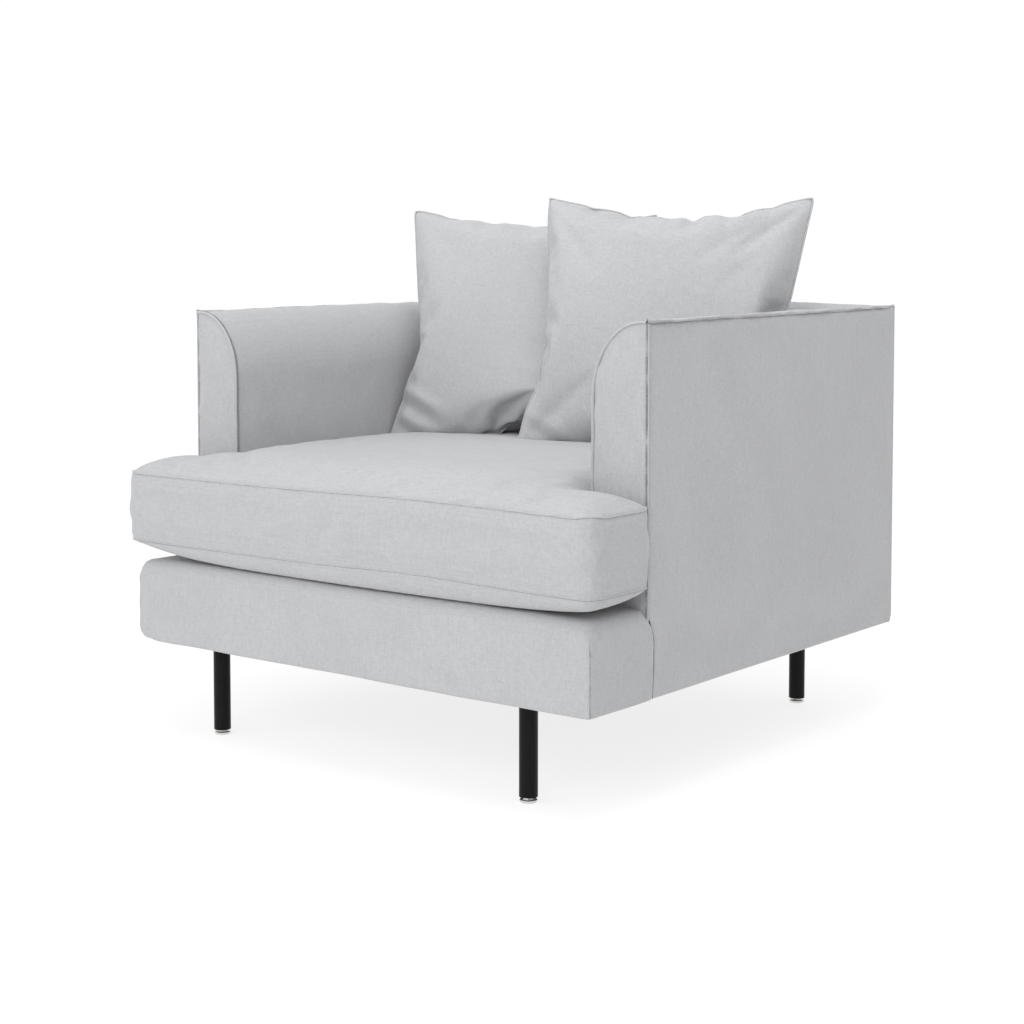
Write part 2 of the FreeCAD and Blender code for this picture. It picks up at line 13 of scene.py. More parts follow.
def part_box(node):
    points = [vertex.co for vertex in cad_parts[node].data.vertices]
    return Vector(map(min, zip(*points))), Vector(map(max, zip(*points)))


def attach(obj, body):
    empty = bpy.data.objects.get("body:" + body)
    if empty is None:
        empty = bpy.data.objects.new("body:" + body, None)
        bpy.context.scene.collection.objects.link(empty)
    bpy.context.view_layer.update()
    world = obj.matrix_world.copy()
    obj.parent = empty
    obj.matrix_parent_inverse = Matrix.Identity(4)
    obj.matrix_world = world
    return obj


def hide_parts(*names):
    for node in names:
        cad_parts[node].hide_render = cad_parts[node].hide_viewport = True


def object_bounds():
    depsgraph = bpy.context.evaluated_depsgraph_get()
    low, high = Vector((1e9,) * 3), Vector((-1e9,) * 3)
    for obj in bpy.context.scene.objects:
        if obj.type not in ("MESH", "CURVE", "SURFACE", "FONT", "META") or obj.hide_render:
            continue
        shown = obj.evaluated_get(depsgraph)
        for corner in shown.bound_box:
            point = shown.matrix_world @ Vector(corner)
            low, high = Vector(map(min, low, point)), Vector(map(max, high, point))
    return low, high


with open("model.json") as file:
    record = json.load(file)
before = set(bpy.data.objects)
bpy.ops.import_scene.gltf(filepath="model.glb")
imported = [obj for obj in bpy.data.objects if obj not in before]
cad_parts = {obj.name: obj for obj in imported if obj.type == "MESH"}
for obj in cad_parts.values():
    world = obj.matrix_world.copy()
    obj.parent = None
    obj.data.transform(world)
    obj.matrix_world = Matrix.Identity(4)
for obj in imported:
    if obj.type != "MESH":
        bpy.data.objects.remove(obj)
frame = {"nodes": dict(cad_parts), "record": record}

CAD_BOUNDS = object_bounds()
SIDES = {"left": -1.0, "right": 1.0}


def corners(name):
    """Low and high corner of a CAD node's box."""
    return [np.array(corner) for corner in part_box(name)]


# ---------------------------------------------------------------- sizes read from the frame
ARM_LOW, ARM_HIGH = corners("outside_arm_cover_right")
BASE_LOW, BASE_HIGH = corners("base_cover")
SEAT_LOW, SEAT_HIGH = corners("seat_cushion_cover")
DECK_HIGH = corners("deck_cover")[1]

X_OUT = float(ARM_HIGH[0])              # outer and inner face of the right arm
X_IN = float(DECK_HIGH[0])
Y_FRONT = float(BASE_LOW[1])
Y_ARM = float(ARM_LOW[1])               # front of the arms
Y_BACK = float(CAD_BOUNDS[1][1])
Y_INSIDE = float(corners("inside_back_cover")[0][1])
Z_BOTTOM = float(BASE_LOW[2])
Z_BASE = float(BASE_HIGH[2])
Z_DECK = float(DECK_HIGH[2])
TOP_BACK = float(ARM_HIGH[2])
TOP_FRONT = TOP_BACK - 0.0095           # the arms' tops drop a little towards the front

# ---------------------------------------------------------------- arms, back and base
ARM_THICKNESS = X_OUT - X_IN
BACK_THICKNESS = Y_BACK - Y_INSIDE
ARM_RISE = (TOP_BACK - TOP_FRONT) / (Y_BACK - Y_ARM)
ROLL_HEIGHT = 0.112                     # height of the quarter curve on the arms and the back
ROLL_FLAT = 0.008                       # flat strip between the curve and the outer face
SEAM_TUCK = 0.0025                      # how far a roll's cloth turns in under the sewn lip
PROUD = 0.0030                          # how far the outside cloth stands off the frame
WIDE = X_OUT + PROUD
CORNER_ROUND = 0.007                    # upright back corners
PANEL_TOP_ROUND = 0.003
HEM_ROUND = 0.007                       # bottom edge of the outside panels
HEM_TUCK = 0.035                        # how far their cloth turns in under the rails
SEAM_SWEEP = 0.017                      # backward run of the seam between base and arm panel
LIP_WIDTH = 0.0048
LIP_THICK = 0.0020
STITCH = (0.0056, 0.0036, 0.0007)       # pitch, length and radius
BASE_ROUND = 0.024                      # soft top edge of the base border
END_SAG = 0.003                         # how far its top has sunk at the ends
SAG_REACH = 0.12
BORDER_LOW = np.array([-WIDE, Y_FRONT - 0.001, Z_BOTTOM])
BORDER_HIGH = np.array([WIDE, Y_ARM + 0.2, Z_BASE])

# ---------------------------------------------------------------- cushion and pillows
UPPER_SEAM = SEAT_HIGH[2] - 0.0277
LOWER_SEAM = SEAT_LOW[2] + 0.0257
SEAT_WIDE = SEAT_HIGH[0] + 0.0100       # half width over the ears
SEAT_NARROW = X_IN - 0.0040             # half width between the arms
SEAT_FRONT = SEAT_LOW[1] - 0.0055
SEAT_REAR = SEAT_HIGH[1] - 0.003
SEAT_NOTCH = Y_ARM - 0.0050             # back of the ears
SEAT_GRID = 0.0125
WALL_ROWS = 8
WALL_BULGE = 0.0048
SEAT_PRESSURE = 3.0
PILLOW_PRESSURE = 2.0
PILLOW_CELLS = 52
PILLOW_YAW = math.radians(20.5)
PILLOW_LEAN = math.radians(14.0)
PILLOW_FLAT = 0.500                     # side of the flat cloths
PILLOW_WIDTH = 0.478                    # between the corners once filled
PILLOW_HEIGHT = 0.448
PILLOW_THICK = 0.164

# ---------------------------------------------------------------- colours, light and camera
UPHOLSTERY = (0.480, 0.4835, 0.4935)
GROUND_GLOW = 0.815
GROUND_HALF = 40.0
WORLD_LIGHT = (1.02, 0.55, 0.66)        # at the horizon on the left, on the right, and overhead
LAMPS = (                               # name, place, size, power
    ("key", (-1.9, -4.2, 2.4), 2.2, 27.0),
    ("front", (1.5, -4.3, 2.9), 2.2, 50.0),
    ("top", (0.55, -0.4, 3.0), 1.8, 26.5),
)
LAMP_AIM = Vector((0.0, 0.0, 0.4))
CAMERA_PLACE = (1.9963, -2.5817, 0.8009)
CAMERA_TURN = math.radians(38.0)
CAMERA_PITCH = math.radians(3.5)
CAMERA_LENS = 65.34
CAMERA_SHIFT = -0.1296


# ---------------------------------------------------------------- numbers and noise
def ease(x):
    """Smooth step from 0 to 1."""
    x = np.clip(x, 0.0, 1.0)
    return x * x * (3.0 - 2.0 * x)


def waves(points, size, seed, count=24):
    """Smooth noise of about -1..1 at each point, with bumps about size metres across."""
    rng = np.random.default_rng(seed)
    points = np.asarray(points, float)
    out = np.zeros(points.shape[:-1])
    for _ in range(count):
        way = rng.normal(size=3)
        way *= (0.6 + 0.8 * rng.random()) * math.pi / size / np.linalg.norm(way)
        out += np.sin(points @ way + rng.random() * 2 * math.pi)
    return out / math.sqrt(count / 2.0) / 1.6


def spread(start, stop, step, edges=(0.0, 0.0)):
    """Values from start to stop about step apart, with closer ones inside each edge width."""
    values = list(np.linspace(start, stop, max(2, int(round(abs(stop - start) / step)) + 1)))
    for width, end, sign in ((edges[0], start, 1.0), (edges[1], stop, -1.0)):
        if width:
            values = [v for v in values if abs(v - end) > width * 1.2 or v == end]
            inward = sign * math.copysign(width, stop - start)
            values += [end + inward * share for share in (0.08, 0.2, 0.4, 0.65, 1.0)]
    return np.array(sorted(set(values), reverse=stop < start))


def edge_round(distance, radius):
    """How far a face falls away at a distance from its edge, for a rounded edge."""
    gap = np.clip(1.0 - distance / radius, 0.0, 1.0)
    return radius * (1.0 - np.sqrt(1.0 - gap * gap))


def line(x, y, z):
    """Points from three coordinates, each a number or an array."""
    return np.stack(np.broadcast_arrays(x, y, z), -1).astype(float)


# ---------------------------------------------------------------- meshes
def make_object(name, verts, faces):
    mesh = bpy.data.meshes.new(name)
    mesh.from_pydata([tuple(v) for v in verts], [], faces)
    mesh.validate()
    mesh.update()
    obj = bpy.data.objects.new(name, mesh)
    bpy.context.scene.collection.objects.link(obj)
    for polygon in mesh.polygons:
        polygon.use_smooth = True
    return obj


def grid_faces(rows, columns, offset=0, flip=False, wrap=False):
    faces = []
    for i in range(rows - 1):
        for j in range(columns if wrap else columns - 1):
            k = (j + 1) % columns
            face = (i * columns + j, i * columns + k, (i + 1) * columns + k, (i + 1) * columns + j)
            face = tuple(offset + v for v in face)
            faces.append(face[::-1] if flip else face)
    return faces


class Sheets:
    """Collects grids of points into one mesh."""

    def __init__(self):
        self.verts = []
        self.faces = []

    def add(self, points, flip=False, wrap=False):
        rows, columns = points.shape[:2]
        start = sum(len(v) for v in self.verts)
        self.verts.append(points.reshape(-1, 3))
        self.faces += grid_faces(rows, columns, start, flip, wrap)

    def build(self, name, weld=0.0002):
        obj = make_object(name, np.concatenate(self.verts), self.faces)
        work = bmesh.new()
        work.from_mesh(obj.data)
        bmesh.ops.remove_doubles(work, verts=work.verts, dist=weld)
        bmesh.ops.recalc_face_normals(work, faces=work.faces)
        work.to_mesh(obj.data)
        work.free()
        return obj


def mirrored(points, sign):
    out = points.copy()
    out[..., 0] *= sign
    return out


def tube(path, radius, sides=10, closed=False):
    """Points of a round tube along a path."""
    path = np.asarray(path, float)
    if closed:
        ahead = np.roll(path, -1, 0) - np.roll(path, 1, 0)
    else:
        ahead = np.gradient(path, axis=0)
    ahead /= np.linalg.norm(ahead, axis=1)[:, None]
    up = np.array([0.0, 0.0, 1.0])
    across = np.cross(ahead[0], up)
    if np.linalg.norm(across) < 0.2:
        across = np.cross(ahead[0], [1.0, 0.0, 0.0])
    rings = []
    radii = np.broadcast_to(radius, len(path))
    for i, point in enumerate(path):
        across = across - ahead[i] * (across @ ahead[i])
        across /= np.linalg.norm(across)
        third = np.cross(ahead[i], across)
        turn = np.linspace(0, 2 * math.pi, sides, endpoint=False)
        rings.append(point + radii[i] * (np.cos(turn)[:, None] * across + np.sin(turn)[:, None] * third))
    rings = np.array(rings)
    if closed:
        rings = np.concatenate([rings, rings[:1]])
    return rings


def resample(path, step):
    """The same path with points evenly about step apart."""
    path = np.asarray(path, float)
    lengths = np.concatenate([[0], np.cumsum(np.linalg.norm(np.diff(path, axis=0), axis=1))])
    count = max(2, int(round(lengths[-1] / step)) + 1)
    at = np.linspace(0, lengths[-1], count)
    return np.stack([np.interp(at, lengths, path[:, k]) for k in range(3)], 1)


# ---------------------------------------------------------------- materials
def fill(tree, made, **values):
    """Capitalised names are the node's sockets, with _ for a space; a socket as value is linked in.
    Other names are the node's settings."""
    for key, value in values.items():
        if not key[0].isupper():
            setattr(made, key, value)
        elif isinstance(value, bpy.types.NodeSocket):
            tree.links.new(value, made.inputs[key.replace("_", " ")])
        else:
            made.inputs[key.replace("_", " ")].default_value = value


def node(tree, kind, **values):
    made = tree.nodes.new(kind)
    fill(tree, made, **values)
    return made


def surface(name):
    """A new material, its tree, its shader and the coordinates that its patterns use."""
    material = bpy.data.materials.new(name)
    material.use_nodes = True
    tree = material.node_tree
    where = node(tree, "ShaderNodeTexCoord").outputs["Object"]
    return material, tree, tree.nodes["Principled BSDF"], where


def noise(tree, where, scale, detail=3.0, roughness=0.5):
    made = node(tree, "ShaderNodeTexNoise", Vector=where, Scale=scale, Detail=detail, Roughness=roughness)
    return made.outputs["Fac"]


def stretched(tree, where, scale):
    return node(tree, "ShaderNodeMapping", Vector=where, Scale=scale).outputs["Vector"]


def maths(tree, kind, a, b):
    made = node(tree, "ShaderNodeMath", operation=kind)
    tree.links.new(a, made.inputs[0])
    if isinstance(b, float):
        made.inputs[1].default_value = b
    else:
        tree.links.new(b, made.inputs[1])
    return made.outputs[0]


def between(tree, value, low, high):
    """A value of 0 to 1, spread over low to high."""
    return node(tree, "ShaderNodeMapRange", Value=value, To_Min=low, To_Max=high).outputs["Result"]


def ramp(tree, value, low, high, at=(0.3, 0.7)):
    made = node(tree, "ShaderNodeValToRGB", Fac=value)
    for element, place, colour in zip(made.color_ramp.elements, at, (low, high)):
        element.position = place
        element.color = (*colour, 1)
    return made.outputs[0]


def mix(tree, share, a, b):
    """Colour a with a share of colour b."""
    made = node(tree, "ShaderNodeMix", data_type="RGBA", Factor=share)
    for colour, socket in zip((a, b), [s for s in made.inputs if s.type == "RGBA"]):
        tree.links.new(colour, socket)
    return [s for s in made.outputs if s.type == "RGBA"][0]


def bump(tree, height, strength, distance, under=None):
    made = node(tree, "ShaderNodeBump", Height=height, Strength=strength, Distance=distance)
    if under is not None:
        tree.links.new(under, made.inputs["Normal"])
    return made.outputs["Normal"]


def thread_pattern(tree, where, pitch):
    """Plain weave: the mean of waves along each axis, so it works on faces that point any way."""
    total = None
    for direction in ("X", "Y", "Z"):
        wave = node(tree, "ShaderNodeTexWave", bands_direction=direction, Vector=where, Scale=0.314 / pitch,
                    Distortion=1.6, Detail=2.0, Detail_Scale=1.3).outputs["Fac"]
        total = wave if total is None else maths(tree, "ADD", total, wave)
    return maths(tree, "MULTIPLY", total, 0.333)


def fabric(name, colour, depth=1.0):
    """Brushed cotton-like plain weave: fine threads, slubs, a felted nap and slow shade changes."""
    material, tree, shader, where = surface(name)
    threads = thread_pattern(tree, where, 0.0016)
    fluff = noise(tree, where, 620.0, 4.0, 0.65)
    speck = noise(tree, where, 240.0, 3.0, 0.6)
    slub_up = noise(tree, stretched(tree, where, (330.0, 330.0, 60.0)), 1.0, 3.0, 0.6)
    slub_across = noise(tree, stretched(tree, where, (60.0, 90.0, 380.0)), 1.0, 3.0, 0.6)
    cloud = noise(tree, where, 14.0, 4.0, 0.55)
    dark, dim, bright, light = [tuple(c * share for c in colour) for share in (0.76, 0.965, 1.02, 1.12)]
    streak = maths(tree, "MULTIPLY", maths(tree, "ADD", slub_up, slub_across), 0.5)
    tone = mix(tree, 0.42, ramp(tree, cloud, dim, bright), ramp(tree, speck, dark, light, (0.34, 0.66)))
    tone = mix(tree, 0.36, tone, ramp(tree, streak, dark, light, (0.36, 0.64)))
    tone = mix(tree, 0.16, tone, ramp(tree, threads, dark, light, (0.25, 0.75)))
    weave = maths(tree, "ADD", maths(tree, "MULTIPLY", threads, 0.5), maths(tree, "MULTIPLY", fluff, 0.8))
    small = bump(tree, weave, 0.35 * depth, 0.0009)
    middle = bump(tree, maths(tree, "ADD", speck, streak), 0.30 * depth, 0.0014, small)
    slow = bump(tree, noise(tree, where, 38.0, 3.0, 0.5), 0.12 * depth, 0.004, middle)
    fill(tree, shader, Base_Color=tone, Roughness=between(tree, speck, 0.86, 0.98), Normal=slow,
         Specular_IOR_Level=0.18, Sheen_Weight=0.22, Sheen_Roughness=0.45)
    return material


def powder_coat():
    """Satin black powder coating: fine orange peel, dust and lighter scuffs."""
    material, tree, shader, where = surface("leg_powder_coat")
    scuffs = noise(tree, stretched(tree, where, (260.0, 260.0, 35.0)), 1.0, 5.0, 0.7)
    tone = ramp(tree, scuffs, (0.003, 0.003, 0.0035), (0.010, 0.010, 0.011), (0.45, 0.8))
    peel = bump(tree, noise(tree, where, 900.0, 2.0), 0.15, 0.0004)
    fill(tree, shader, Base_Color=tone, Roughness=between(tree, scuffs, 0.3, 0.52), Normal=peel,
         Specular_IOR_Level=0.14)
    return material


def metal(name, colour, rough_low, rough_high, scratch=(40.0, 40.0, 900.0)):
    """Bare or plated metal with fine turned lines and small changes in shine."""
    material, tree, shader, where = surface(name)
    lines = noise(tree, stretched(tree, where, scratch), 1.0, 3.0)
    tone = ramp(tree, noise(tree, where, 120.0, 4.0), tuple(c * 0.88 for c in colour), colour)
    fill(tree, shader, Base_Color=tone, Roughness=between(tree, lines, rough_low, rough_high),
         Normal=bump(tree, lines, 0.1, 0.0003), Metallic=1.0)
    return material


def timber(name, low, high, grain=(9.0, 108.0, 108.0)):
    """Sawn board: long grain, rays and a matte, slightly rough face."""
    material, tree, shader, where = surface(name)
    long = noise(tree, stretched(tree, where, grain), 1.0, 6.0, 0.65)
    fine = noise(tree, where, 260.0, 4.0)
    tone = mix(tree, 0.25, ramp(tree, long, low, high, (0.35, 0.65)), ramp(tree, fine, low, high))
    rough = bump(tree, maths(tree, "ADD", long, fine), 0.3, 0.001)
    fill(tree, shader, Base_Color=tone, Roughness=0.72, Normal=rough)
    return material


def grained(name, low, high, scale, roughness, strength=0.4):
    """A plain matte stuff whose look is a single grain, such as foam, felt or moulded plastic."""
    material, tree, shader, where = surface(name)
    grain = noise(tree, where, scale, 5.0, 0.6)
    patch = noise(tree, where, scale * 0.05, 3.0)
    tone = mix(tree, 0.4, ramp(tree, grain, low, high), ramp(tree, patch, low, high))
    fill(tree, shader, Base_Color=tone, Roughness=roughness, Normal=bump(tree, grain, strength, 0.0008))
    return material


def ground():
    """Pale studio floor, lit partly from below like a light table, so shadows on it stay faint."""
    material, tree, shader, where = surface("studio_ground")
    tone = ramp(tree, noise(tree, where, 3.0), (0.235, 0.235, 0.235), (0.25, 0.25, 0.25))
    fill(tree, shader, Base_Color=tone, Roughness=0.9, Specular_IOR_Level=0.0,
         Emission_Color=(1.0, 1.0, 1.0, 1.0), Emission_Strength=GROUND_GLOW)
    return material


MATERIALS = {
    "upholstery": fabric("upholstery_weave", UPHOLSTERY),
    "thread": fabric("seam_thread", tuple(c * 1.02 for c in UPHOLSTERY), 0.4),
    "leg_coating": powder_coat(),
    "glide_nickel": metal("glide_nickel", (0.74, 0.73, 0.71), 0.14, 0.3),
    "zinc_steel": metal("zinc_steel", (0.6, 0.61, 0.63), 0.3, 0.5, (300.0, 300.0, 300.0)),
    "zip_metal": metal("zip_metal", (0.72, 0.72, 0.73), 0.25, 0.42, (200.0, 200.0, 200.0)),
    "frame_wood": timber("frame_wood", (0.42, 0.27, 0.14), (0.62, 0.44, 0.26)),
    "hardboard": timber("hardboard", (0.16, 0.09, 0.05), (0.27, 0.17, 0.1), (60.0, 60.0, 60.0)),
    "foam": grained("seat_foam", (0.66, 0.6, 0.42), (0.8, 0.75, 0.58), 420.0, 0.95),
    "burlap": grained("burlap", (0.3, 0.21, 0.12), (0.5, 0.38, 0.24), 300.0, 0.95, 0.8),
    "webbing": grained("webbing", (0.02, 0.02, 0.022), (0.06, 0.06, 0.065), 300.0, 0.9, 0.7),
    "dust_cloth": grained("dust_cloth", (0.012, 0.012, 0.014), (0.035, 0.035, 0.038), 350.0, 0.95, 0.5),
    "zip_tape": grained("zip_tape", (0.42, 0.43, 0.45), (0.56, 0.57, 0.59), 500.0, 0.9, 0.5),
    "ticking": grained("ticking", (0.68, 0.66, 0.6), (0.8, 0.78, 0.72), 500.0, 0.9, 0.4),
    # painted shade: the upholstery at half its brightness, laid as thin lines where folds beside seams and
    # welts are shaded
    "painted_crease_shade": fabric("seam_painted_shade", tuple(c * 0.5 for c in UPHOLSTERY), 0.4),
    "ground": ground(),
    "insert_plastic": grained("insert_plastic", (0.015, 0.015, 0.017), (0.03, 0.03, 0.032), 300.0, 0.5, 0.2),
}


def finish_piece(obj, slot, body, *replaced, material=None):
    """Give a new piece its material, its body and the CAD nodes that it stands for."""
    obj.data.materials.clear()
    obj.data.materials.append(MATERIALS[material or slot])
    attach(obj, body)
    if replaced:
        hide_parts(*replaced)
    return obj


for part in frame["record"]["subparts"]:
    shown = frame["nodes"][part["node"]]
    for material_slot in shown.material_slots:
        material_slot.material = MATERIALS[part["material_slot"]]


# ---------------------------------------------------------------- arms and back
ROLL_STEPS = 26


def roll_profile(thickness, top, bottom):
    """Points (inset, height) from the foot of the inner face, up and over the roll, to the outer edge,
    with the outward normal at each.  Inset counts inwards from the outer face."""
    centre_z = top - ROLL_HEIGHT
    half = thickness - ROLL_FLAT
    rows = []
    for z in spread(bottom, centre_z, 0.012, (0.01, 0.0)):
        rows.append((thickness, z, 1.0, 0.0))
    for i in range(1, ROLL_STEPS + 1):
        turn = math.radians(90.0 * i / ROLL_STEPS)
        nx, nz = math.cos(turn) / half, math.sin(turn) / ROLL_HEIGHT
        length = math.hypot(nx, nz)
        inset = ROLL_FLAT + half * math.cos(turn)
        rows.append((inset, centre_z + ROLL_HEIGHT * math.sin(turn), nx / length, nz / length))
    for inset in (ROLL_FLAT * 0.6, ROLL_FLAT * 0.25, 0.0012):
        rows.append((inset, top, 0.0, 1.0))
    return np.array(rows)


def path_distance(points):
    steps = np.linalg.norm(np.diff(points, axis=0), axis=1)
    return np.concatenate([[0.0], np.cumsum(steps)])


def puff(distance, height, reach):
    """Padding that swells from a seam: 0 at the seam, height beyond the reach."""
    return height * (1.0 - np.exp(-np.maximum(distance, 0.0) / reach))


def arm_top(y):
    return TOP_FRONT + ARM_RISE * (y - Y_ARM)


def mitred(start, stop, count):
    """Points between two seams, close together beside each of them."""
    close = np.array([0.0, 0.0012, 0.003, 0.006, 0.011])
    middle = np.linspace(start + 0.018, stop - 0.018, count)
    return np.concatenate([start + close, middle, stop - close[::-1]])


def arm_inside():
    """The inside and rolled top of the right arm, from its front welt to the mitre at the back."""
    profile = roll_profile(ARM_THICKNESS, 0.0, Z_DECK - 0.015 - TOP_FRONT)
    along = path_distance(profile[:, :2])
    rows = []
    for (inset, drop, nx, nz), s in zip(profile, along):
        end = Y_BACK - BACK_THICKNESS * inset / ARM_THICKNESS
        ys = mitred(Y_ARM, end, 56)
        point = line(X_OUT - inset, ys, arm_top(ys) + drop)
        edge = np.minimum(ys - Y_ARM, end - ys)
        seam = np.minimum(edge, along[-1] - s)
        lift = puff(edge, 0.0022, 0.006) + puff(np.minimum(edge, s + 0.01), 0.004, 0.05) - 0.002
        lift = lift * (1.0 - np.exp(-(along[-1] - s) / 0.012) * 0.6)
        lift += 0.0011 * waves(point, 0.16, 5) + 0.0006 * waves(point, 0.055, 6)
        pucker = np.exp(-(ys - Y_ARM) / 0.018) * waves(point * [1, 0.2, 1], 0.014, 7) * 0.0009
        pucker += np.exp(-(along[-1] - s) / 0.014) * waves(point * [0.2, 1, 0.2], 0.020, 8) * 0.0011
        lift += pucker * ease(seam / 0.003)
        point[:, 0] -= nx * lift
        point[:, 2] += nz * lift
        rows.append(point)
    rows.append(rows[-1] + [SEAM_TUCK, 0.0, -SEAM_TUCK])
    return np.array(rows)


def seam_shift(z):
    """How far back the seam between the base return and the outside arm panel runs at a height."""
    return SEAM_SWEEP * ease((Z_BASE - z) / 0.055) - 0.004 * ease((Z_BASE - 0.09 - z) / 0.06)


def turned_in(rows, inward):
    """The rows of an outside panel with two more, which turn its cloth in under the rail."""
    edge = rows[0] + inward * 0.0025
    tuck = rows[0] + inward * HEM_TUCK
    edge[:, 2] = Z_BOTTOM + 0.0003
    tuck[:, 2] = Z_BOTTOM + 0.0002
    return np.array([tuck, edge] + rows)


def arm_outside():
    """The upright outside panel of the right arm, down over the side of the base."""
    front_round = 0.004
    back_y = Y_BACK + PROUD
    ys = spread(Y_ARM, back_y, 0.014, (0.022, 0.022))
    ys = np.unique(np.clip(ys, Y_ARM + front_round * 0.29, back_y - CORNER_ROUND * 0.29))
    front, back = ys - Y_ARM, back_y - ys
    bottom = Z_BOTTOM + HEM_ROUND * 0.29
    top = arm_top(ys) - PANEL_TOP_ROUND * 0.29
    rows = []
    for v in spread(0.0, 1.0, 0.026, (0.05, 0.05)):
        z = bottom + (top - bottom) * v
        under, over = z - Z_BOTTOM, arm_top(ys) - z
        below = ease((Z_BASE - z) / 0.012)
        fall = edge_round(front, front_round) * (1 - 0.8 * below) + edge_round(back, CORNER_ROUND)
        fall = np.hypot(fall, edge_round(under, HEM_ROUND) + edge_round(over, PANEL_TOP_ROUND))
        moved = back_y - back * (back_y - Y_ARM - seam_shift(z)) / (back_y - Y_ARM)
        point = line(WIDE, moved, z)
        near = np.minimum.reduce([front, back, over])
        lift = puff(near, 0.0016, 0.012) - 0.0012 + 0.0009 * waves(point, 0.22, 31)
        lift += 0.0010 * np.exp(-over / 0.016) * waves(point * [0, 1, 0.15], 0.019, 32)
        lift += 0.0006 * np.exp(-front / 0.014) * waves(point * [0, 0.15, 1], 0.016, 33)
        lift += 0.0015 * ease((Z_BASE - z) / 0.15) * ease(front / 0.5)
        point[:, 0] += lift * ease(back / 0.02) - fall
        rows.append(point)
    return turned_in(rows, np.array([-1.0, 0.0, 0.0]))


def arm_front():
    """The front panel of the right arm, between its outer upright edge and the welted inner edge."""
    profile = roll_profile(ARM_THICKNESS, TOP_FRONT, Z_BASE - 0.040)
    inner = resample(line(X_OUT - profile[:, 0], 0.0, profile[:, 1]), 0.008)
    heights = np.linspace(inner[0, 2], TOP_FRONT - 0.0008, len(inner)) * 0.35 + inner[:, 2] * 0.65
    columns = np.array([0, 0.02, 0.05, 0.1, 0.18, 0.3, 0.42, 0.54, 0.66, 0.77, 0.86, 0.92, 0.96, 0.985, 1])
    rows = []
    total = path_distance(inner)
    for row, z_out in enumerate(heights):
        hidden = ease((Z_BASE - 0.030 - z_out) / 0.01)
        outer = np.array([WIDE - 0.0006 - 0.004 * hidden, Y_ARM, z_out])
        start = inner[row] * [1, 0, 1] + [0.0, Y_ARM, 0.0]
        point = outer + (start - outer) * columns[:, None]
        width = np.linalg.norm(start - outer)
        from_outer = columns * width
        from_inner = (1 - columns) * width
        near = np.minimum(from_outer, from_inner)
        lift = puff(near, 0.0030, 0.009) + 0.0009 * waves(point, 0.09, 21)
        lift -= edge_round(from_outer, 0.003)
        lift += 0.0008 * np.exp(-from_inner / 0.012) * waves(point * [0.2, 1, 1], 0.015, 22)
        lift += 0.0010 * np.exp(-from_outer / 0.010) * waves(point * [0, 1, 1], 0.013, 23)
        lift *= ease((total[-1] - total[row]) / 0.01) * 0.8 + 0.2
        point[:, 1] -= lift
        rows.append(point)
    return np.array(rows)


def arm_edge_line():
    """The line of the welt round the right arm's front: up the inner face and over the roll."""
    profile = roll_profile(ARM_THICKNESS, TOP_FRONT, Z_BASE - 0.010)
    return resample(line(X_OUT - profile[:, 0], Y_ARM, profile[:, 1]), 0.004)


def lip(path, outward, seed):
    """A flat sewn lip that stands up along a path: two cloth edges pressed together, a little uneven."""
    wobble = waves(path, 0.022, seed)[:, None]
    tall = LIP_WIDTH * (1.0 + 0.18 * waves(path, 0.05, seed + 1)[:, None])
    way = np.array([0.0, 0.0, 1.0]) + np.array(outward) * (0.15 + 0.45 * wobble)
    way /= np.linalg.norm(way, axis=1)[:, None]
    side = np.cross(way, np.gradient(path, axis=0))
    side /= np.linalg.norm(side, axis=1)[:, None]
    shape = ((-0.9, 0.0), (-0.75, 0.45), (-0.6, 0.85), (0.0, 1.0), (0.6, 0.85), (0.75, 0.45), (0.9, 0.0))
    rows = []
    for across, up in shape:
        rows.append(path + side * (across * LIP_THICK / 2) + way * (tall * up - LIP_WIDTH * 0.25))
    return np.array(rows)


def stitches(path, normal, size=STITCH):
    """Single stitches laid along a path on a face with the given outward normal."""
    pitch, length, radius = size
    path = resample(path, pitch)
    normal = np.asarray(normal, float)
    out = Sheets()
    ahead = np.gradient(path, axis=0)
    ahead /= np.linalg.norm(ahead, axis=1)[:, None]
    for point, way in zip(path, ahead):
        t = np.linspace(-0.5, 0.5, 5)
        height = (0.25 - t * t) * radius * 5 - radius * 0.55
        arc = point + np.outer(t * length, way) + np.outer(height, normal)
        out.add(tube(arc, radius, 5), wrap=True)
    return out


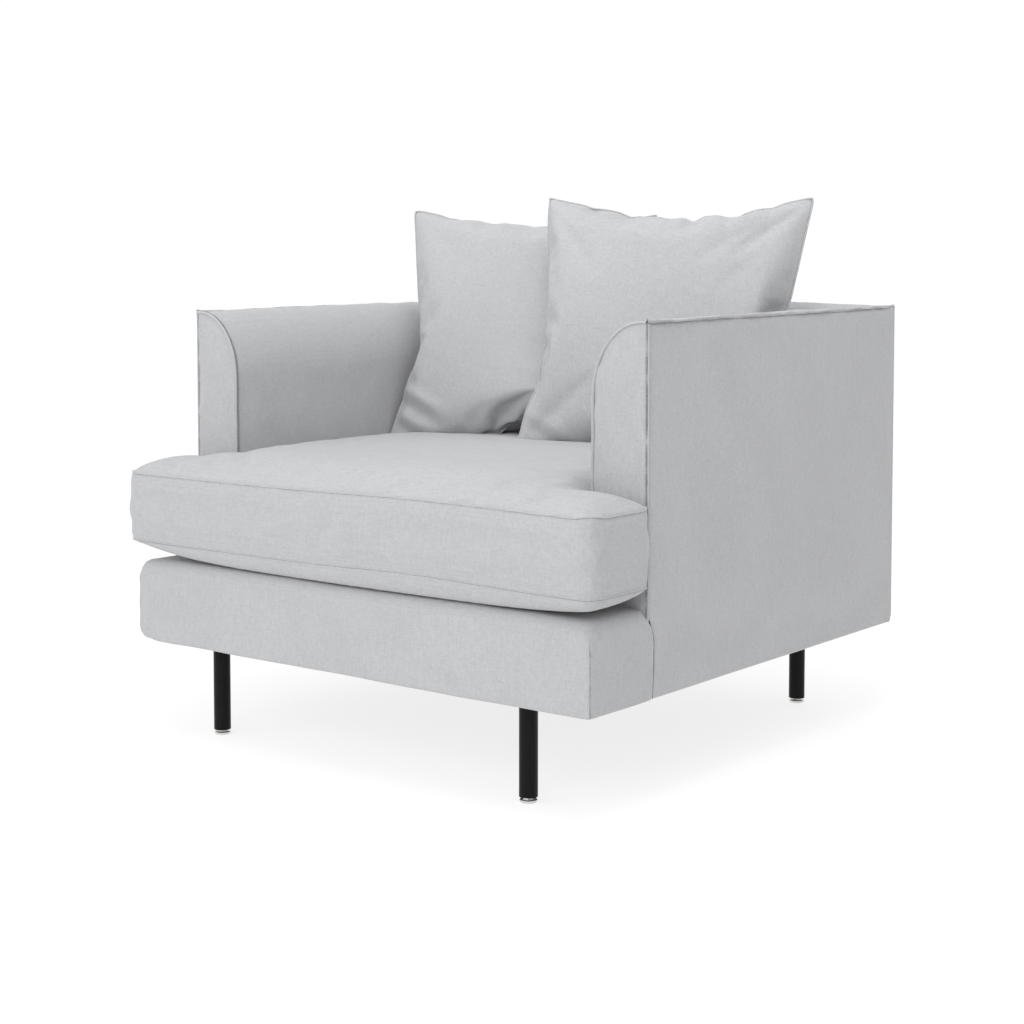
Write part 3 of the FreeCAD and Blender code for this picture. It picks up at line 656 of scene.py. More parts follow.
def build_arm(side):
    sign = SIDES[side]
    flip = sign < 0
    shell = Sheets()
    shell.add(mirrored(arm_inside(), sign), flip=not flip)
    shell.add(mirrored(arm_front(), sign), flip=flip)
    arm = shell.build("arm_cover_soft_" + side)
    finish_piece(arm, "upholstery", "chair_frame", "arm_cover_" + side, "arm_foam_" + side)

    outside = Sheets()
    outside.add(mirrored(arm_outside(), sign), flip=not flip)
    panel = outside.build("outside_arm_cover_soft_" + side)
    finish_piece(panel, "upholstery", "chair_frame", "outside_arm_cover_" + side)

    welt = Sheets()
    path = arm_edge_line() + np.array([0.0006, -0.0020, 0.0])
    path[:, 0] -= 0.0004 * waves(path, 0.03, 41)
    welt.add(mirrored(tube(path, 0.0025, 10), sign), wrap=True, flip=flip)
    finish_piece(welt.build("arm_welt_soft_" + side), "upholstery", "chair_frame", "arm_welt_" + side)

    # Painted shade: thin dark tubes beside the front welt, under the top lip and beside the upright front
    # seam, standing in for the shade in those folds.
    painted_crease_shade = Sheets()
    inner = path + np.array([-0.0010, 0.0030, 0.0])
    inner[:, 0] -= 0.0014 * ease((TOP_FRONT - inner[:, 2]) / 0.06)
    inner[:, 2] += 0.0016 * ease((inner[:, 2] - TOP_FRONT + 0.06) / 0.06)
    painted_crease_shade.add(mirrored(tube(inner, 0.0011, 8), sign), wrap=True, flip=flip)
    ys = np.arange(Y_ARM - 0.002, Y_BACK + 0.004, 0.004)
    top = line(WIDE - 0.0020, ys, arm_top(ys) - 0.0008)
    top[:, 2] += 0.0005 * waves(top, 0.03, 43)
    ears = np.exp(-((ys - ys[0]) / 0.008)) + np.exp(-((ys[-1] - ys) / 0.008))
    top[:, 2] += 0.0022 * ears
    seam = Sheets()
    seam.add(mirrored(lip(top, [1.0, 0.0, 0.0], 44), sign), flip=flip)
    below = top + [PROUD * 0.6, 0.0, -0.0022]
    painted_crease_shade.add(mirrored(tube(below, 0.0007, 6), sign), wrap=True, flip=flip)
    zs = np.arange(Z_BASE - 0.016, TOP_FRONT, 0.004)
    upright = line(WIDE - 0.0008, Y_ARM + 0.0006, zs)
    seam.add(mirrored(tube(upright, 0.0013, 8), sign), wrap=True, flip=flip)
    painted_crease_shade.add(mirrored(tube(upright + [-0.0022, -0.0016, 0.0], 0.0006, 6), sign), wrap=True, flip=flip)
    finish_piece(painted_crease_shade.build("arm_seam_painted_shade_" + side), "upholstery", "chair_frame", material="painted_crease_shade")
    finish_piece(seam.build("arm_edge_seam_" + side), "upholstery", "chair_frame")

    run = stitches(mirrored(upright + [-0.0040, -0.0026, 0.0], sign), (0.0, -1.0, 0.0))
    finish_piece(run.build("arm_edge_stitches_" + side), "upholstery", "chair_frame", material="thread")


def build_inside_back():
    profile = roll_profile(BACK_THICKNESS, 0.0, Z_DECK - 0.015 - TOP_BACK)
    along = path_distance(profile[:, :2])
    rows = []
    for (inset, drop, ny, nz), s in zip(profile, along):
        end = X_OUT - ARM_THICKNESS * inset / BACK_THICKNESS
        xs = mitred(-end, end, 60)
        point = line(xs, Y_BACK - inset, TOP_BACK + drop)
        edge = end - np.abs(xs)
        lift = puff(edge, 0.0022, 0.006) + puff(np.minimum(edge, s + 0.01), 0.006, 0.08) - 0.002
        lift *= 1.0 - np.exp(-(along[-1] - s) / 0.012) * 0.6
        lift += 0.0012 * waves(point, 0.18, 51)
        lift += np.exp(-(along[-1] - s) / 0.014) * waves(point * [1, 0.2, 0.2], 0.020, 52) * 0.0011
        point[:, 1] -= ny * lift
        point[:, 2] += nz * lift
        rows.append(point)
    rows.append(rows[-1] + [0.0, SEAM_TUCK, -SEAM_TUCK])
    shell = Sheets()
    shell.add(np.array(rows))
    back = shell.build("inside_back_cover_soft")
    finish_piece(back, "upholstery", "chair_frame", "inside_back_cover", "back_foam")


def build_outside_back():
    xs = spread(-WIDE, WIDE, 0.014, (0.022, 0.022))
    xs = np.unique(np.clip(xs, -WIDE + CORNER_ROUND * 0.29, WIDE - CORNER_ROUND * 0.29))
    edge = WIDE - np.abs(xs)
    rows = []
    for v in spread(0.0, 1.0, 0.026, (0.05, 0.05)):
        z = Z_BOTTOM + 0.0020 + (TOP_BACK - 0.0009 - Z_BOTTOM - 0.0020) * v
        upright_fall = edge_round(z - Z_BOTTOM, HEM_ROUND) + edge_round(TOP_BACK - z, PANEL_TOP_ROUND)
        fall = np.hypot(edge_round(edge, CORNER_ROUND), upright_fall)
        point = line(xs, Y_BACK + PROUD, z)
        near = np.minimum(edge, TOP_BACK - z)
        lift = puff(near, 0.0016, 0.012) - 0.0012 + 0.0010 * waves(point, 0.25, 55)
        lift += 0.0030 * ease((Z_BASE - z) / 0.15)
        lift += 0.001 * np.exp(-(TOP_BACK - z) / 0.016) * waves(point * [1, 0, 0.15], 0.019, 56)
        point[:, 1] += lift * ease(edge / 0.02) - fall
        rows.append(point)
    shell = Sheets()
    shell.add(turned_in(rows, np.array([0.0, -1.0, 0.0])), flip=True)
    finish_piece(shell.build("outside_back_cover_soft"), "upholstery", "chair_frame", "outside_back_cover")


def build_back_seams():
    """The lip along the top of the back, a thin line of painted shade under it, and the seams down the two
    rear corners.
    """
    xs = np.arange(-X_OUT - 0.003, X_OUT + 0.004, 0.004)
    top = line(xs, Y_BACK + PROUD - 0.0018, TOP_BACK - 0.0008)
    top[:, 2] += 0.0005 * waves(top, 0.03, 57)
    top[:, 2] += 0.0022 * (np.exp(-(xs - xs[0]) / 0.008) + np.exp(-(xs[-1] - xs) / 0.008))
    seam = Sheets()
    seam.add(lip(top, [0.0, 1.0, 0.0], 58), flip=True)
    zs = np.arange(Z_BOTTOM + 0.01, TOP_BACK, 0.004)
    for sign in SIDES.values():
        inset = PROUD - CORNER_ROUND * 0.29
        seam.add(tube(line(sign * (X_OUT + inset), Y_BACK + inset, zs), 0.0016, 8), wrap=True)
    finish_piece(seam.build("back_edge_seam"), "upholstery", "chair_frame")
    # Painted shade: a thin dark tube under the top lip, standing in for the shade in its fold.
    painted_crease_shade = Sheets()
    painted_crease_shade.add(tube(top + [0.0, PROUD * 0.6, -0.0022], 0.0007, 6), wrap=True)
    finish_piece(painted_crease_shade.build("back_edge_painted_shade"), "upholstery", "chair_frame", material="painted_crease_shade")


# ---------------------------------------------------------------- base
def end_sag(x):
    """How far the padded top of the border has sunk towards its two ends."""
    return END_SAG * ease((np.abs(x) - (X_OUT - SAG_REACH)) / SAG_REACH)


def border_top(x, y):
    """Height of the border's soft top at a plan point; it falls away over the front and the ends."""
    over_front = edge_round(np.maximum(y - Y_FRONT, 0.0), 0.022)
    over_end = edge_round(np.maximum(WIDE - np.abs(x), 0.0), 0.022)
    return Z_BASE - end_sag(x) - np.minimum(np.hypot(over_front, over_end), BASE_ROUND)


def rounded(points, low, high, radii):
    """Pulls points of a sharp box in onto the same box with rounded edges."""
    centre = np.clip(points, low + radii, high - radii)
    way = (points - centre) / radii
    length = np.linalg.norm(way, axis=-1, keepdims=True)
    return np.where(length > 1e-9, centre + radii * way / np.maximum(length, 1e-9), points)


def border_skin(points):
    """Points of the border's sharp box, moved to its padded, sewn and slightly worn surface."""
    worn_end = (points[..., 0:1] < 0) * np.array([0.007, 0.0, 0.0])
    soft = rounded(points, BORDER_LOW, BORDER_HIGH, np.array([0.020, 0.020, BASE_ROUND]) + worn_end)
    firm = rounded(points, BORDER_LOW, BORDER_HIGH, np.array([0.004, 0.004, 0.005]))
    worn = rounded(points, BORDER_LOW + [0.0, 0.001, 0.0], BORDER_HIGH, np.array([0.022, 0.010, 0.022]))
    along = points[..., 1] - BORDER_LOW[1]
    top_share = ease((points[..., 2:3] - (Z_BASE - 0.050)) / 0.035)
    left = ease((-points[..., 0:1] - (WIDE - 0.05)) / 0.03)
    out = firm + (soft - firm) * top_share
    out = out + (worn - out) * left * (1 - top_share) * ease(1.3 - along[..., None] / 0.045)
    normal = points - np.clip(points, BORDER_LOW + 0.03, BORDER_HIGH - 0.03)
    normal /= np.maximum(np.linalg.norm(normal, axis=-1, keepdims=True), 1e-9)
    corner = (WIDE - np.abs(points[..., 0])) + along
    lift = 0.0007 * waves(points, 0.16, 61) + 0.0003 * waves(points, 0.05, 62)
    lift += puff(corner, 0.0016, 0.012) - 0.0012
    lift += 0.0006 * np.exp(-corner / 0.015) * waves(points * [0.2, 0.2, 1], 0.016, 63)
    out[..., 2] -= end_sag(points[..., 0]) * top_share[..., 0]
    seam = Y_ARM - points[..., 1]
    outer = np.abs(points[..., 0]) > WIDE - 0.02
    lift -= 0.0010 * np.exp(-(seam / 0.003) ** 2) * outer
    near_top = np.exp(-seam / 0.02) * np.exp(-(Z_BASE - points[..., 2]) / 0.03)
    lift += 0.0014 * near_top * waves(points, 0.013, 64)
    out = out + normal * lift[..., None]
    back = np.clip(along / (Y_ARM - BORDER_LOW[1]), 0, 1) ** 2
    out[..., 1] += seam_shift(points[..., 2]) * back
    return out


def build_base():
    """Front border of the base: front, two side returns and the lip on top, as one sewn skin."""
    low_y = BORDER_LOW[1]
    xs = spread(-WIDE, WIDE, 0.014, (0.03, 0.03))
    ys = spread(low_y, Y_ARM, 0.012, (0.03, 0.006))
    zs = spread(Z_BOTTOM, Z_BASE, 0.010, (0.03, 0.03))

    def plane(a, b, fixed, order):
        grid_a, grid_b = np.meshgrid(a, b, indexing="ij")
        stacked = [grid_a, grid_b, np.full_like(grid_a, fixed)]
        return border_skin(np.stack([stacked[i] for i in order], -1))

    shell = Sheets()
    strip = ys[ys <= low_y + 0.0301]
    shell.add(plane(zs, xs, low_y, (1, 2, 0)))
    shell.add(plane(xs, ys, Z_BASE, (0, 1, 2)), flip=True)
    shell.add(plane(xs, strip, Z_BOTTOM, (0, 1, 2)))
    for sign in SIDES.values():
        shell.add(plane(zs, ys, sign * WIDE, (2, 1, 0)), flip=sign > 0)
        edge_xs = xs[sign * xs >= WIDE - 0.0301]
        shell.add(plane(edge_xs, ys[ys >= low_y + 0.0299], Z_BOTTOM, (0, 1, 2)))
    base = shell.build("base_border_soft", weld=0.0006)
    finish_piece(base, "upholstery", "chair_frame", "base_cover", "base_foam")


def build_base_seams():
    """Sewn front corners with their stitches, and thin lines of painted shade beside them and at the arm
    panels, where the seams' folds are shaded.
    """
    seams = Sheets()
    thread = Sheets()
    dark = Sheets()
    z = np.arange(Z_BOTTOM + 0.001, Z_BASE - 0.006, 0.003)
    z_side = np.arange(Z_BOTTOM + 0.001, Z_BASE - 0.022, 0.004)
    for sign in SIDES.values():
        corner = border_skin(line(sign * WIDE, BORDER_LOW[1], z))
        seams.add(tube(corner, 0.0012, 8), wrap=True)
        run = stitches(corner + [0.0008 * sign, 0.0034, 0.0], (sign, 0.0, 0.0))
        for points in run.verts:
            thread.add(points.reshape(-1, 5, 3), wrap=True)
        # Painted shade: thin dark tubes along the seam to the arm panel and beside each corner seam.
        behind = line(sign * (WIDE - 0.0004), Y_ARM + seam_shift(z_side), z_side)
        dark.add(tube(behind, 0.0004, 6), wrap=True)
        dark.add(tube(corner + [0.0006 * sign, 0.0016, 0.0], 0.0007, 6), wrap=True)
    finish_piece(seams.build("base_corner_seams"), "upholstery", "chair_frame")
    finish_piece(dark.build("base_seam_painted_shade"), "upholstery", "chair_frame", material="painted_crease_shade")
    finish_piece(thread.build("base_corner_stitches"), "upholstery", "chair_frame", material="thread")


def build_deck():
    """Deck cloth under the seat cushion, sewn to the front border and tucked down all round."""
    xs = spread(-X_IN + 0.001, X_IN - 0.001, 0.02, (0.02, 0.02))
    ys = spread(Y_ARM, Y_INSIDE, 0.02, (0.02, 0.02))
    grid_x, grid_y = np.meshgrid(xs, ys, indexing="ij")
    point = line(grid_x, grid_y, Z_DECK)
    side = X_IN - np.abs(grid_x)
    front = grid_y - Y_ARM
    rear = Y_INSIDE - grid_y
    fall = 0.010 * np.exp(-np.minimum(side, rear) / 0.012)
    fall += (Z_DECK - Z_BASE + 0.001) * np.exp(-front / 0.012)
    point[..., 2] -= fall + 0.0008 + 0.0005 * waves(point, 0.1, 71)
    deck = Sheets()
    deck.add(point, flip=True)
    finish_piece(deck.build("deck_cover_soft"), "upholstery", "chair_frame", "deck_cover", "deck_foam")


def build_dust_cover():
    """Black cloth under the base, sagging a little between its edges."""
    low, high = corners("dust_cover")
    xs = spread(low[0], high[0], 0.02, (0.01, 0.01))
    ys = spread(low[1], high[1], 0.02, (0.01, 0.01))
    grid_x, grid_y = np.meshgrid(xs, ys, indexing="ij")
    point = line(grid_x, grid_y, Z_BOTTOM + 0.0012)
    inner = np.minimum(high[0] - np.abs(grid_x), high[1] - np.abs(grid_y))
    point[..., 2] -= 0.0025 * (1 - np.exp(-inner / 0.12)) - 0.0007 * waves(point, 0.09, 72)
    cloth = Sheets()
    cloth.add(point)
    finish_piece(cloth.build("dust_cover_soft"), "dust_cloth", "chair_frame", "dust_cover")


# ---------------------------------------------------------------- cloth
def coordinates(obj):
    flat = np.empty(len(obj.data.vertices) * 3)
    obj.data.vertices.foreach_get("co", flat)
    return flat.reshape(-1, 3)


def set_coordinates(obj, points):
    obj.data.vertices.foreach_set("co", np.asarray(points, float).ravel())
    obj.data.update()


def settle_cloth(obj, pressure, frames, tension, bending, slack=0.0, hold=None, cap=None):
    """Swell a closed skin as cloth under pressure and keep the result.  hold gives each point's pull
    towards its starting place (1 is a sewn, fixed point); cap limits how far a point may travel."""
    start = coordinates(obj)
    cloth = obj.modifiers.new("cloth", "CLOTH")
    settings = cloth.settings
    settings.quality = 6
    settings.mass = 0.3
    settings.tension_stiffness = tension
    settings.compression_stiffness = tension
    settings.shear_stiffness = tension / 3.0
    settings.bending_stiffness = bending
    settings.air_damping = 2.0
    settings.use_pressure = True
    settings.uniform_pressure_force = pressure
    settings.shrink_min = -slack
    settings.effector_weights.gravity = 0.0
    if hold is not None:
        group = obj.vertex_groups.new(name="hold")
        for index, weight in enumerate(hold):
            if weight > 0:
                group.add([index], float(weight), "REPLACE")
        settings.vertex_group_mass = "hold"
        settings.pin_stiffness = 1.0
    scene = bpy.context.scene
    cloth.point_cache.frame_start = 1
    cloth.point_cache.frame_end = frames
    for step in range(1, frames + 1):
        scene.frame_set(step)
    shown = obj.evaluated_get(bpy.context.evaluated_depsgraph_get())
    moved = coordinates(shown) - start
    obj.modifiers.remove(cloth)
    obj.vertex_groups.clear()
    scene.frame_set(1)
    if cap:
        length = np.linalg.norm(moved, axis=1, keepdims=True)
        moved *= np.where(length > 1e-9, cap * np.tanh(length / cap) / np.maximum(length, 1e-9), 1.0)
    set_coordinates(obj, start + moved)


def subdivide(obj):
    modifier = obj.modifiers.new("smooth", "SUBSURF")
    modifier.levels = 1
    modifier.render_levels = 1


# ---------------------------------------------------------------- seat cushion
def turn_corner(points, corner, way, size):
    """Round a square plan corner: way points from the corner into the cushion."""
    local = (points[..., :2] - np.array(corner)) * np.array(way)
    inside = (local[..., 0] < size) & (local[..., 1] < size)
    a = 1.0 - np.clip(local[..., 0] / size, 0, 1)
    b = 1.0 - np.clip(local[..., 1] / size, 0, 1)
    round_a = a * np.sqrt(1.0 - b * b / 2.0)
    round_b = b * np.sqrt(1.0 - a * a / 2.0)
    new = np.stack([(1.0 - round_a) * size, (1.0 - round_b) * size], -1) * np.array(way) + np.array(corner)
    points[..., :2] = np.where(inside[..., None], new, points[..., :2])


def dome(distance, reach):
    """Rise of a stuffed edge: upright at the seam, level from reach on."""
    gap = 1.0 - np.clip(distance / reach, 0.0, 1.0)
    return np.sqrt(1.0 - gap * gap)


def nearest(points, path):
    """Distance in plan from each point to the nearest point of a path."""
    gaps = points[:, None, :2] - path[None, :, :2]
    return np.sqrt((gaps ** 2).sum(-1)).min(1)


def seat_faces(flat, away):
    """Heights of the crowned top and the hanging underside; away is each point's distance to a seam."""
    ends = SEAT_WIDE - np.abs(flat[:, 0])
    ahead_of = flat[:, 1] - SEAT_FRONT
    ear = ease((np.abs(flat[:, 0]) - SEAT_NARROW + 0.03) / 0.05)
    crown = (dome(ends, 0.082) * dome(ahead_of, 0.085)) ** 0.85
    crown *= 0.5 + 0.5 * dome(away, 0.05)
    crown *= 1.0 - ear * (1.0 - 0.80 * (0.25 + 0.75 * dome(SEAT_NOTCH - flat[:, 1], 0.075)))
    open_edge = np.minimum(ends, ahead_of)
    crown = np.where(open_edge < 1e-6, 0.0, crown)
    rear_fall = ease((flat[:, 1] + 0.02) / 0.16)
    top = flat.copy()
    rise = 0.0043 * np.exp(-((flat[:, 0] - 0.17) / 0.22) ** 2) * np.exp(-ahead_of / 0.15)
    top[:, 2] = UPPER_SEAM + rise + crown * (0.0305 - 0.0050 * rear_fall)
    low = flat.copy()
    bow = 0.0050 * np.exp(-((flat[:, 0] - 0.16) / 0.16) ** 2) * np.exp(-ahead_of / 0.10)
    slack_end = np.where(flat[:, 0] > 0, 0.075, 0.001)
    depth = np.where(flat[:, 1] < Y_ARM - 0.012, 0.033, 0.0250) + bow
    depth *= dome(np.minimum(away, ahead_of), 0.024) * (1 - np.exp(-(ends + slack_end) / 0.100))
    depth *= 1.0 - ear * (1.0 - dome(SEAT_NOTCH - flat[:, 1], 0.10))
    low[:, 2] = LOWER_SEAM + bow - depth
    return top, low


def sew_seat(points, seams):
    """Thin welts along the cushion's two seams, each with a line of painted shade under it, where the fold
    below the welt is shaded.
    """
    welts = Sheets()
    painted_shade_lines = Sheets()
    for ring in seams:
        path = points[ring]
        path = resample(np.concatenate([path, path[:1]]), 0.005)[:-1]
        path[:, 2] += 0.0003 * waves(path, 0.02, 81)
        welts.add(tube(path, 0.0013, 8, closed=True), wrap=True)
        # painted shade: a thin dark tube just below the welt
        painted_shade_lines.add(tube(path - [0.0, 0.0, 0.0012], 0.0006, 6, closed=True), wrap=True)
    finish_piece(welts.build("seat_cushion_welts"), "upholstery", "seat_cushion")
    finish_piece(painted_shade_lines.build("seat_cushion_painted_shade"), "upholstery", "seat_cushion", material="painted_crease_shade")


def build_seat():
    """The boxed T cushion: crowned top, boxing that bulges between two sewn welts, soft underside."""
    ears_x = spread(-SEAT_WIDE, -SEAT_NARROW, SEAT_GRID, (0.018, 0.0))
    xs = np.concatenate([ears_x, spread(-SEAT_NARROW, SEAT_NARROW, SEAT_GRID)[1:], -ears_x[::-1][1:]])
    front_y = spread(SEAT_FRONT, SEAT_NOTCH, SEAT_GRID, (0.018, 0.0))
    ys = np.concatenate([front_y, spread(SEAT_NOTCH, SEAT_REAR, SEAT_GRID)[1:]])
    left, right = len(ears_x) - 1, len(xs) - len(ears_x)
    last_x, last_y = len(xs) - 1, len(ys) - 1
    mid_y = len(front_y) - 1
    loop = [(i, 0) for i in range(last_x)]
    loop += [(last_x, j) for j in range(mid_y)]
    loop += [(i, mid_y) for i in range(last_x, right, -1)]
    loop += [(right, j) for j in range(mid_y, last_y)]
    loop += [(i, last_y) for i in range(right, left, -1)]
    loop += [(left, j) for j in range(last_y, mid_y, -1)]
    loop += [(i, mid_y) for i in range(left, 0, -1)]
    loop += [(0, j) for j in range(mid_y, 0, -1)]
    grid = np.stack(np.meshgrid(xs, ys, indexing="ij"), -1)
    plan = np.concatenate([grid, np.zeros(grid.shape[:2] + (1,))], -1)
    for sign in SIDES.values():
        turn_corner(plan, (sign * SEAT_WIDE, SEAT_FRONT), (-sign, 1), 0.027)
        turn_corner(plan, (sign * SEAT_WIDE, SEAT_NOTCH), (-sign, -1), 0.022)
        turn_corner(plan, (sign * SEAT_NARROW, SEAT_REAR), (-sign, -1), 0.035)
    inside = {}
    for i in range(len(xs)):
        for j in range(len(ys)):
            if j <= mid_y or left <= i <= right:
                inside[(i, j)] = len(inside)
    flat = np.array([plan[key] for key in inside])
    edge = np.array([plan[key] for key in loop])
    dense = np.concatenate([edge + (np.roll(edge, -1, 0) - edge) * f for f in (0.0, 0.25, 0.5, 0.75)])
    away = nearest(flat, dense)
    top, low = seat_faces(flat, away)
    count = len(top)
    rim_top = np.array([top[inside[key], 2] for key in loop])
    rim_low = np.array([low[inside[key], 2] for key in loop])
    ahead = np.roll(edge, -1, 0) - np.roll(edge, 1, 0)
    ahead /= np.linalg.norm(ahead, axis=1)[:, None]
    outward = np.stack([ahead[:, 1], -ahead[:, 0], np.zeros(len(edge))], 1)
    walls = []
    for row in range(1, WALL_ROWS):
        share = row / WALL_ROWS
        ring = edge + outward * WALL_BULGE * math.sin(math.pi * share) ** 0.6
        ring[:, 2] = rim_top + (rim_low - rim_top) * share
        walls.append(ring)
    verts = np.concatenate([top, low] + walls)
    faces = []
    for (i, j), a in inside.items():
        if (i + 1, j) in inside and (i, j + 1) in inside and (i + 1, j + 1) in inside:
            if not (j == mid_y and not (left <= i < right)):
                face = (a, inside[(i + 1, j)], inside[(i + 1, j + 1)], inside[(i, j + 1)])
                faces.append(face)
                faces.append(tuple(count + v for v in face[::-1]))
    upper = [inside[key] for key in loop]
    rings = [upper]
    rings += [[2 * count + r * len(loop) + k for k in range(len(loop))] for r in range(WALL_ROWS - 1)]
    rings.append([count + v for v in upper])
    for above, below in zip(rings, rings[1:]):
        for k in range(len(loop)):
            n = (k + 1) % len(loop)
            faces.append((above[k], below[k], below[n], above[n]))
    seat = make_object("seat_cushion_soft", verts, faces)
    hold = np.zeros(len(verts))
    hold[:count] = 0.12 + 0.6 * np.exp(-away / 0.012)
    hold[count:2 * count] = 0.98
    hold[2 * count:] = 0.25
    seams = (rings[0], rings[-1])
    for ring in seams:
        hold[ring] = 1.0
    settle_cloth(seat, SEAT_PRESSURE, 20, tension=12.0, bending=0.35, slack=0.02, hold=hold, cap=0.018)
    points = coordinates(seat)
    for _ in range(3):
        for row in rings[1:-1]:
            wall = points[row]
            points[row] = 0.5 * wall + 0.25 * (np.roll(wall, 1, 0) + np.roll(wall, -1, 0))
    rest = border_top(points[:, 0], points[:, 1]) + 0.0045
    floor = np.where(points[:, 1] < Y_ARM - 0.008, rest, SEAT_LOW[2] + 0.0003)
    points[:, 2] = np.maximum(points[:, 2], floor)
    behind = points[:, 1] > SEAT_NOTCH + 0.002
    points[behind, 0] = np.clip(points[behind, 0], -(X_IN - 0.0015), X_IN - 0.0015)
    points[:, 0] = np.clip(points[:, 0], -SEAT_WIDE - 0.0025, SEAT_WIDE + 0.0025)
    points[:, 1] = np.clip(points[:, 1], SEAT_FRONT - 0.008, SEAT_HIGH[1])
    ears = np.abs(points[:, 0]) > X_IN
    points[ears, 1] = np.minimum(points[ears, 1], Y_ARM - 0.0025)
    set_coordinates(seat, points)
    subdivide(seat)
    finish_piece(seat, "upholstery", "seat_cushion", "seat_cushion_cover", "seat_cushion_foam")
    sew_seat(points, seams)


# ---------------------------------------------------------------- pillows
def blank_pillow(name, seed):
    """Two square cloths sewn together round their edge, just parted so that they can be filled."""
    cells = PILLOW_CELLS
    n = cells + 1
    t = np.linspace(-0.5, 0.5, n) * PILLOW_FLAT
    index = {}
    verts = []
    for side in (-1, 1):
        for i in range(n):
            for j in range(n):
                rim = i in (0, cells) or j in (0, cells)
                if rim and side > 0:
                    index[(side, i, j)] = index[(-1, i, j)]
                    continue
                index[(side, i, j)] = len(verts)
                u, v = t[i] / PILLOW_FLAT * 2, t[j] / PILLOW_FLAT * 2
                gap = 0.012 * (1 - u * u) * (1 - v * v) * side
                verts.append((t[i], gap, t[j]))
    faces = []
    for side in (-1, 1):
        for i in range(cells):
            for j in range(cells):
                face = [index[(side, *k)] for k in ((i, j), (i + 1, j), (i + 1, j + 1), (i, j + 1))]
                faces.append(tuple(face if side < 0 else face[::-1]))
    verts = np.array(verts)
    verts[:, 1] += 0.0012 * waves(verts, 0.07, seed) * (np.abs(verts[:, 1]) > 0)
    rim = [index[(-1, i, 0)] for i in range(cells)]
    rim += [index[(-1, cells, j)] for j in range(cells)]
    rim += [index[(-1, i, cells)] for i in range(cells, 0, -1)]
    rim += [index[(-1, 0, j)] for j in range(cells, 0, -1)]
    return make_object(name, verts, faces), rim


def crease_line(obj, ring, tips):
    """Keep a sewn edge crisp, and its corners pointed, when the skin is subdivided."""
    mesh = obj.data
    sewn = {frozenset((a, b)) for a, b in zip(ring, ring[1:] + ring[:1])}
    edges = mesh.attributes.new("crease_edge", "FLOAT", "EDGE")
    for edge in mesh.edges:
        edges.data[edge.index].value = 1.0 if frozenset(edge.vertices) in sewn else 0.0
    verts = mesh.attributes.new("crease_vert", "FLOAT", "POINT")
    for tip in tips:
        verts.data[ring[tip]].value = 0.25


def push_behind(points, other, gap):
    """Points that are inside or in front of another closed skin are moved straight back behind it."""
    mesh = other.data
    tree = BVHTree.FromPolygons([v.co for v in mesh.vertices], [tuple(f.vertices) for f in mesh.polygons])
    for index, point in enumerate(points):
        hit, _, _, _ = tree.ray_cast(Vector((point[0], 2.0, point[2])), Vector((0.0, -1.0, 0.0)))
        if hit is not None:
            points[index, 1] = max(point[1], hit.y + gap)
    return points


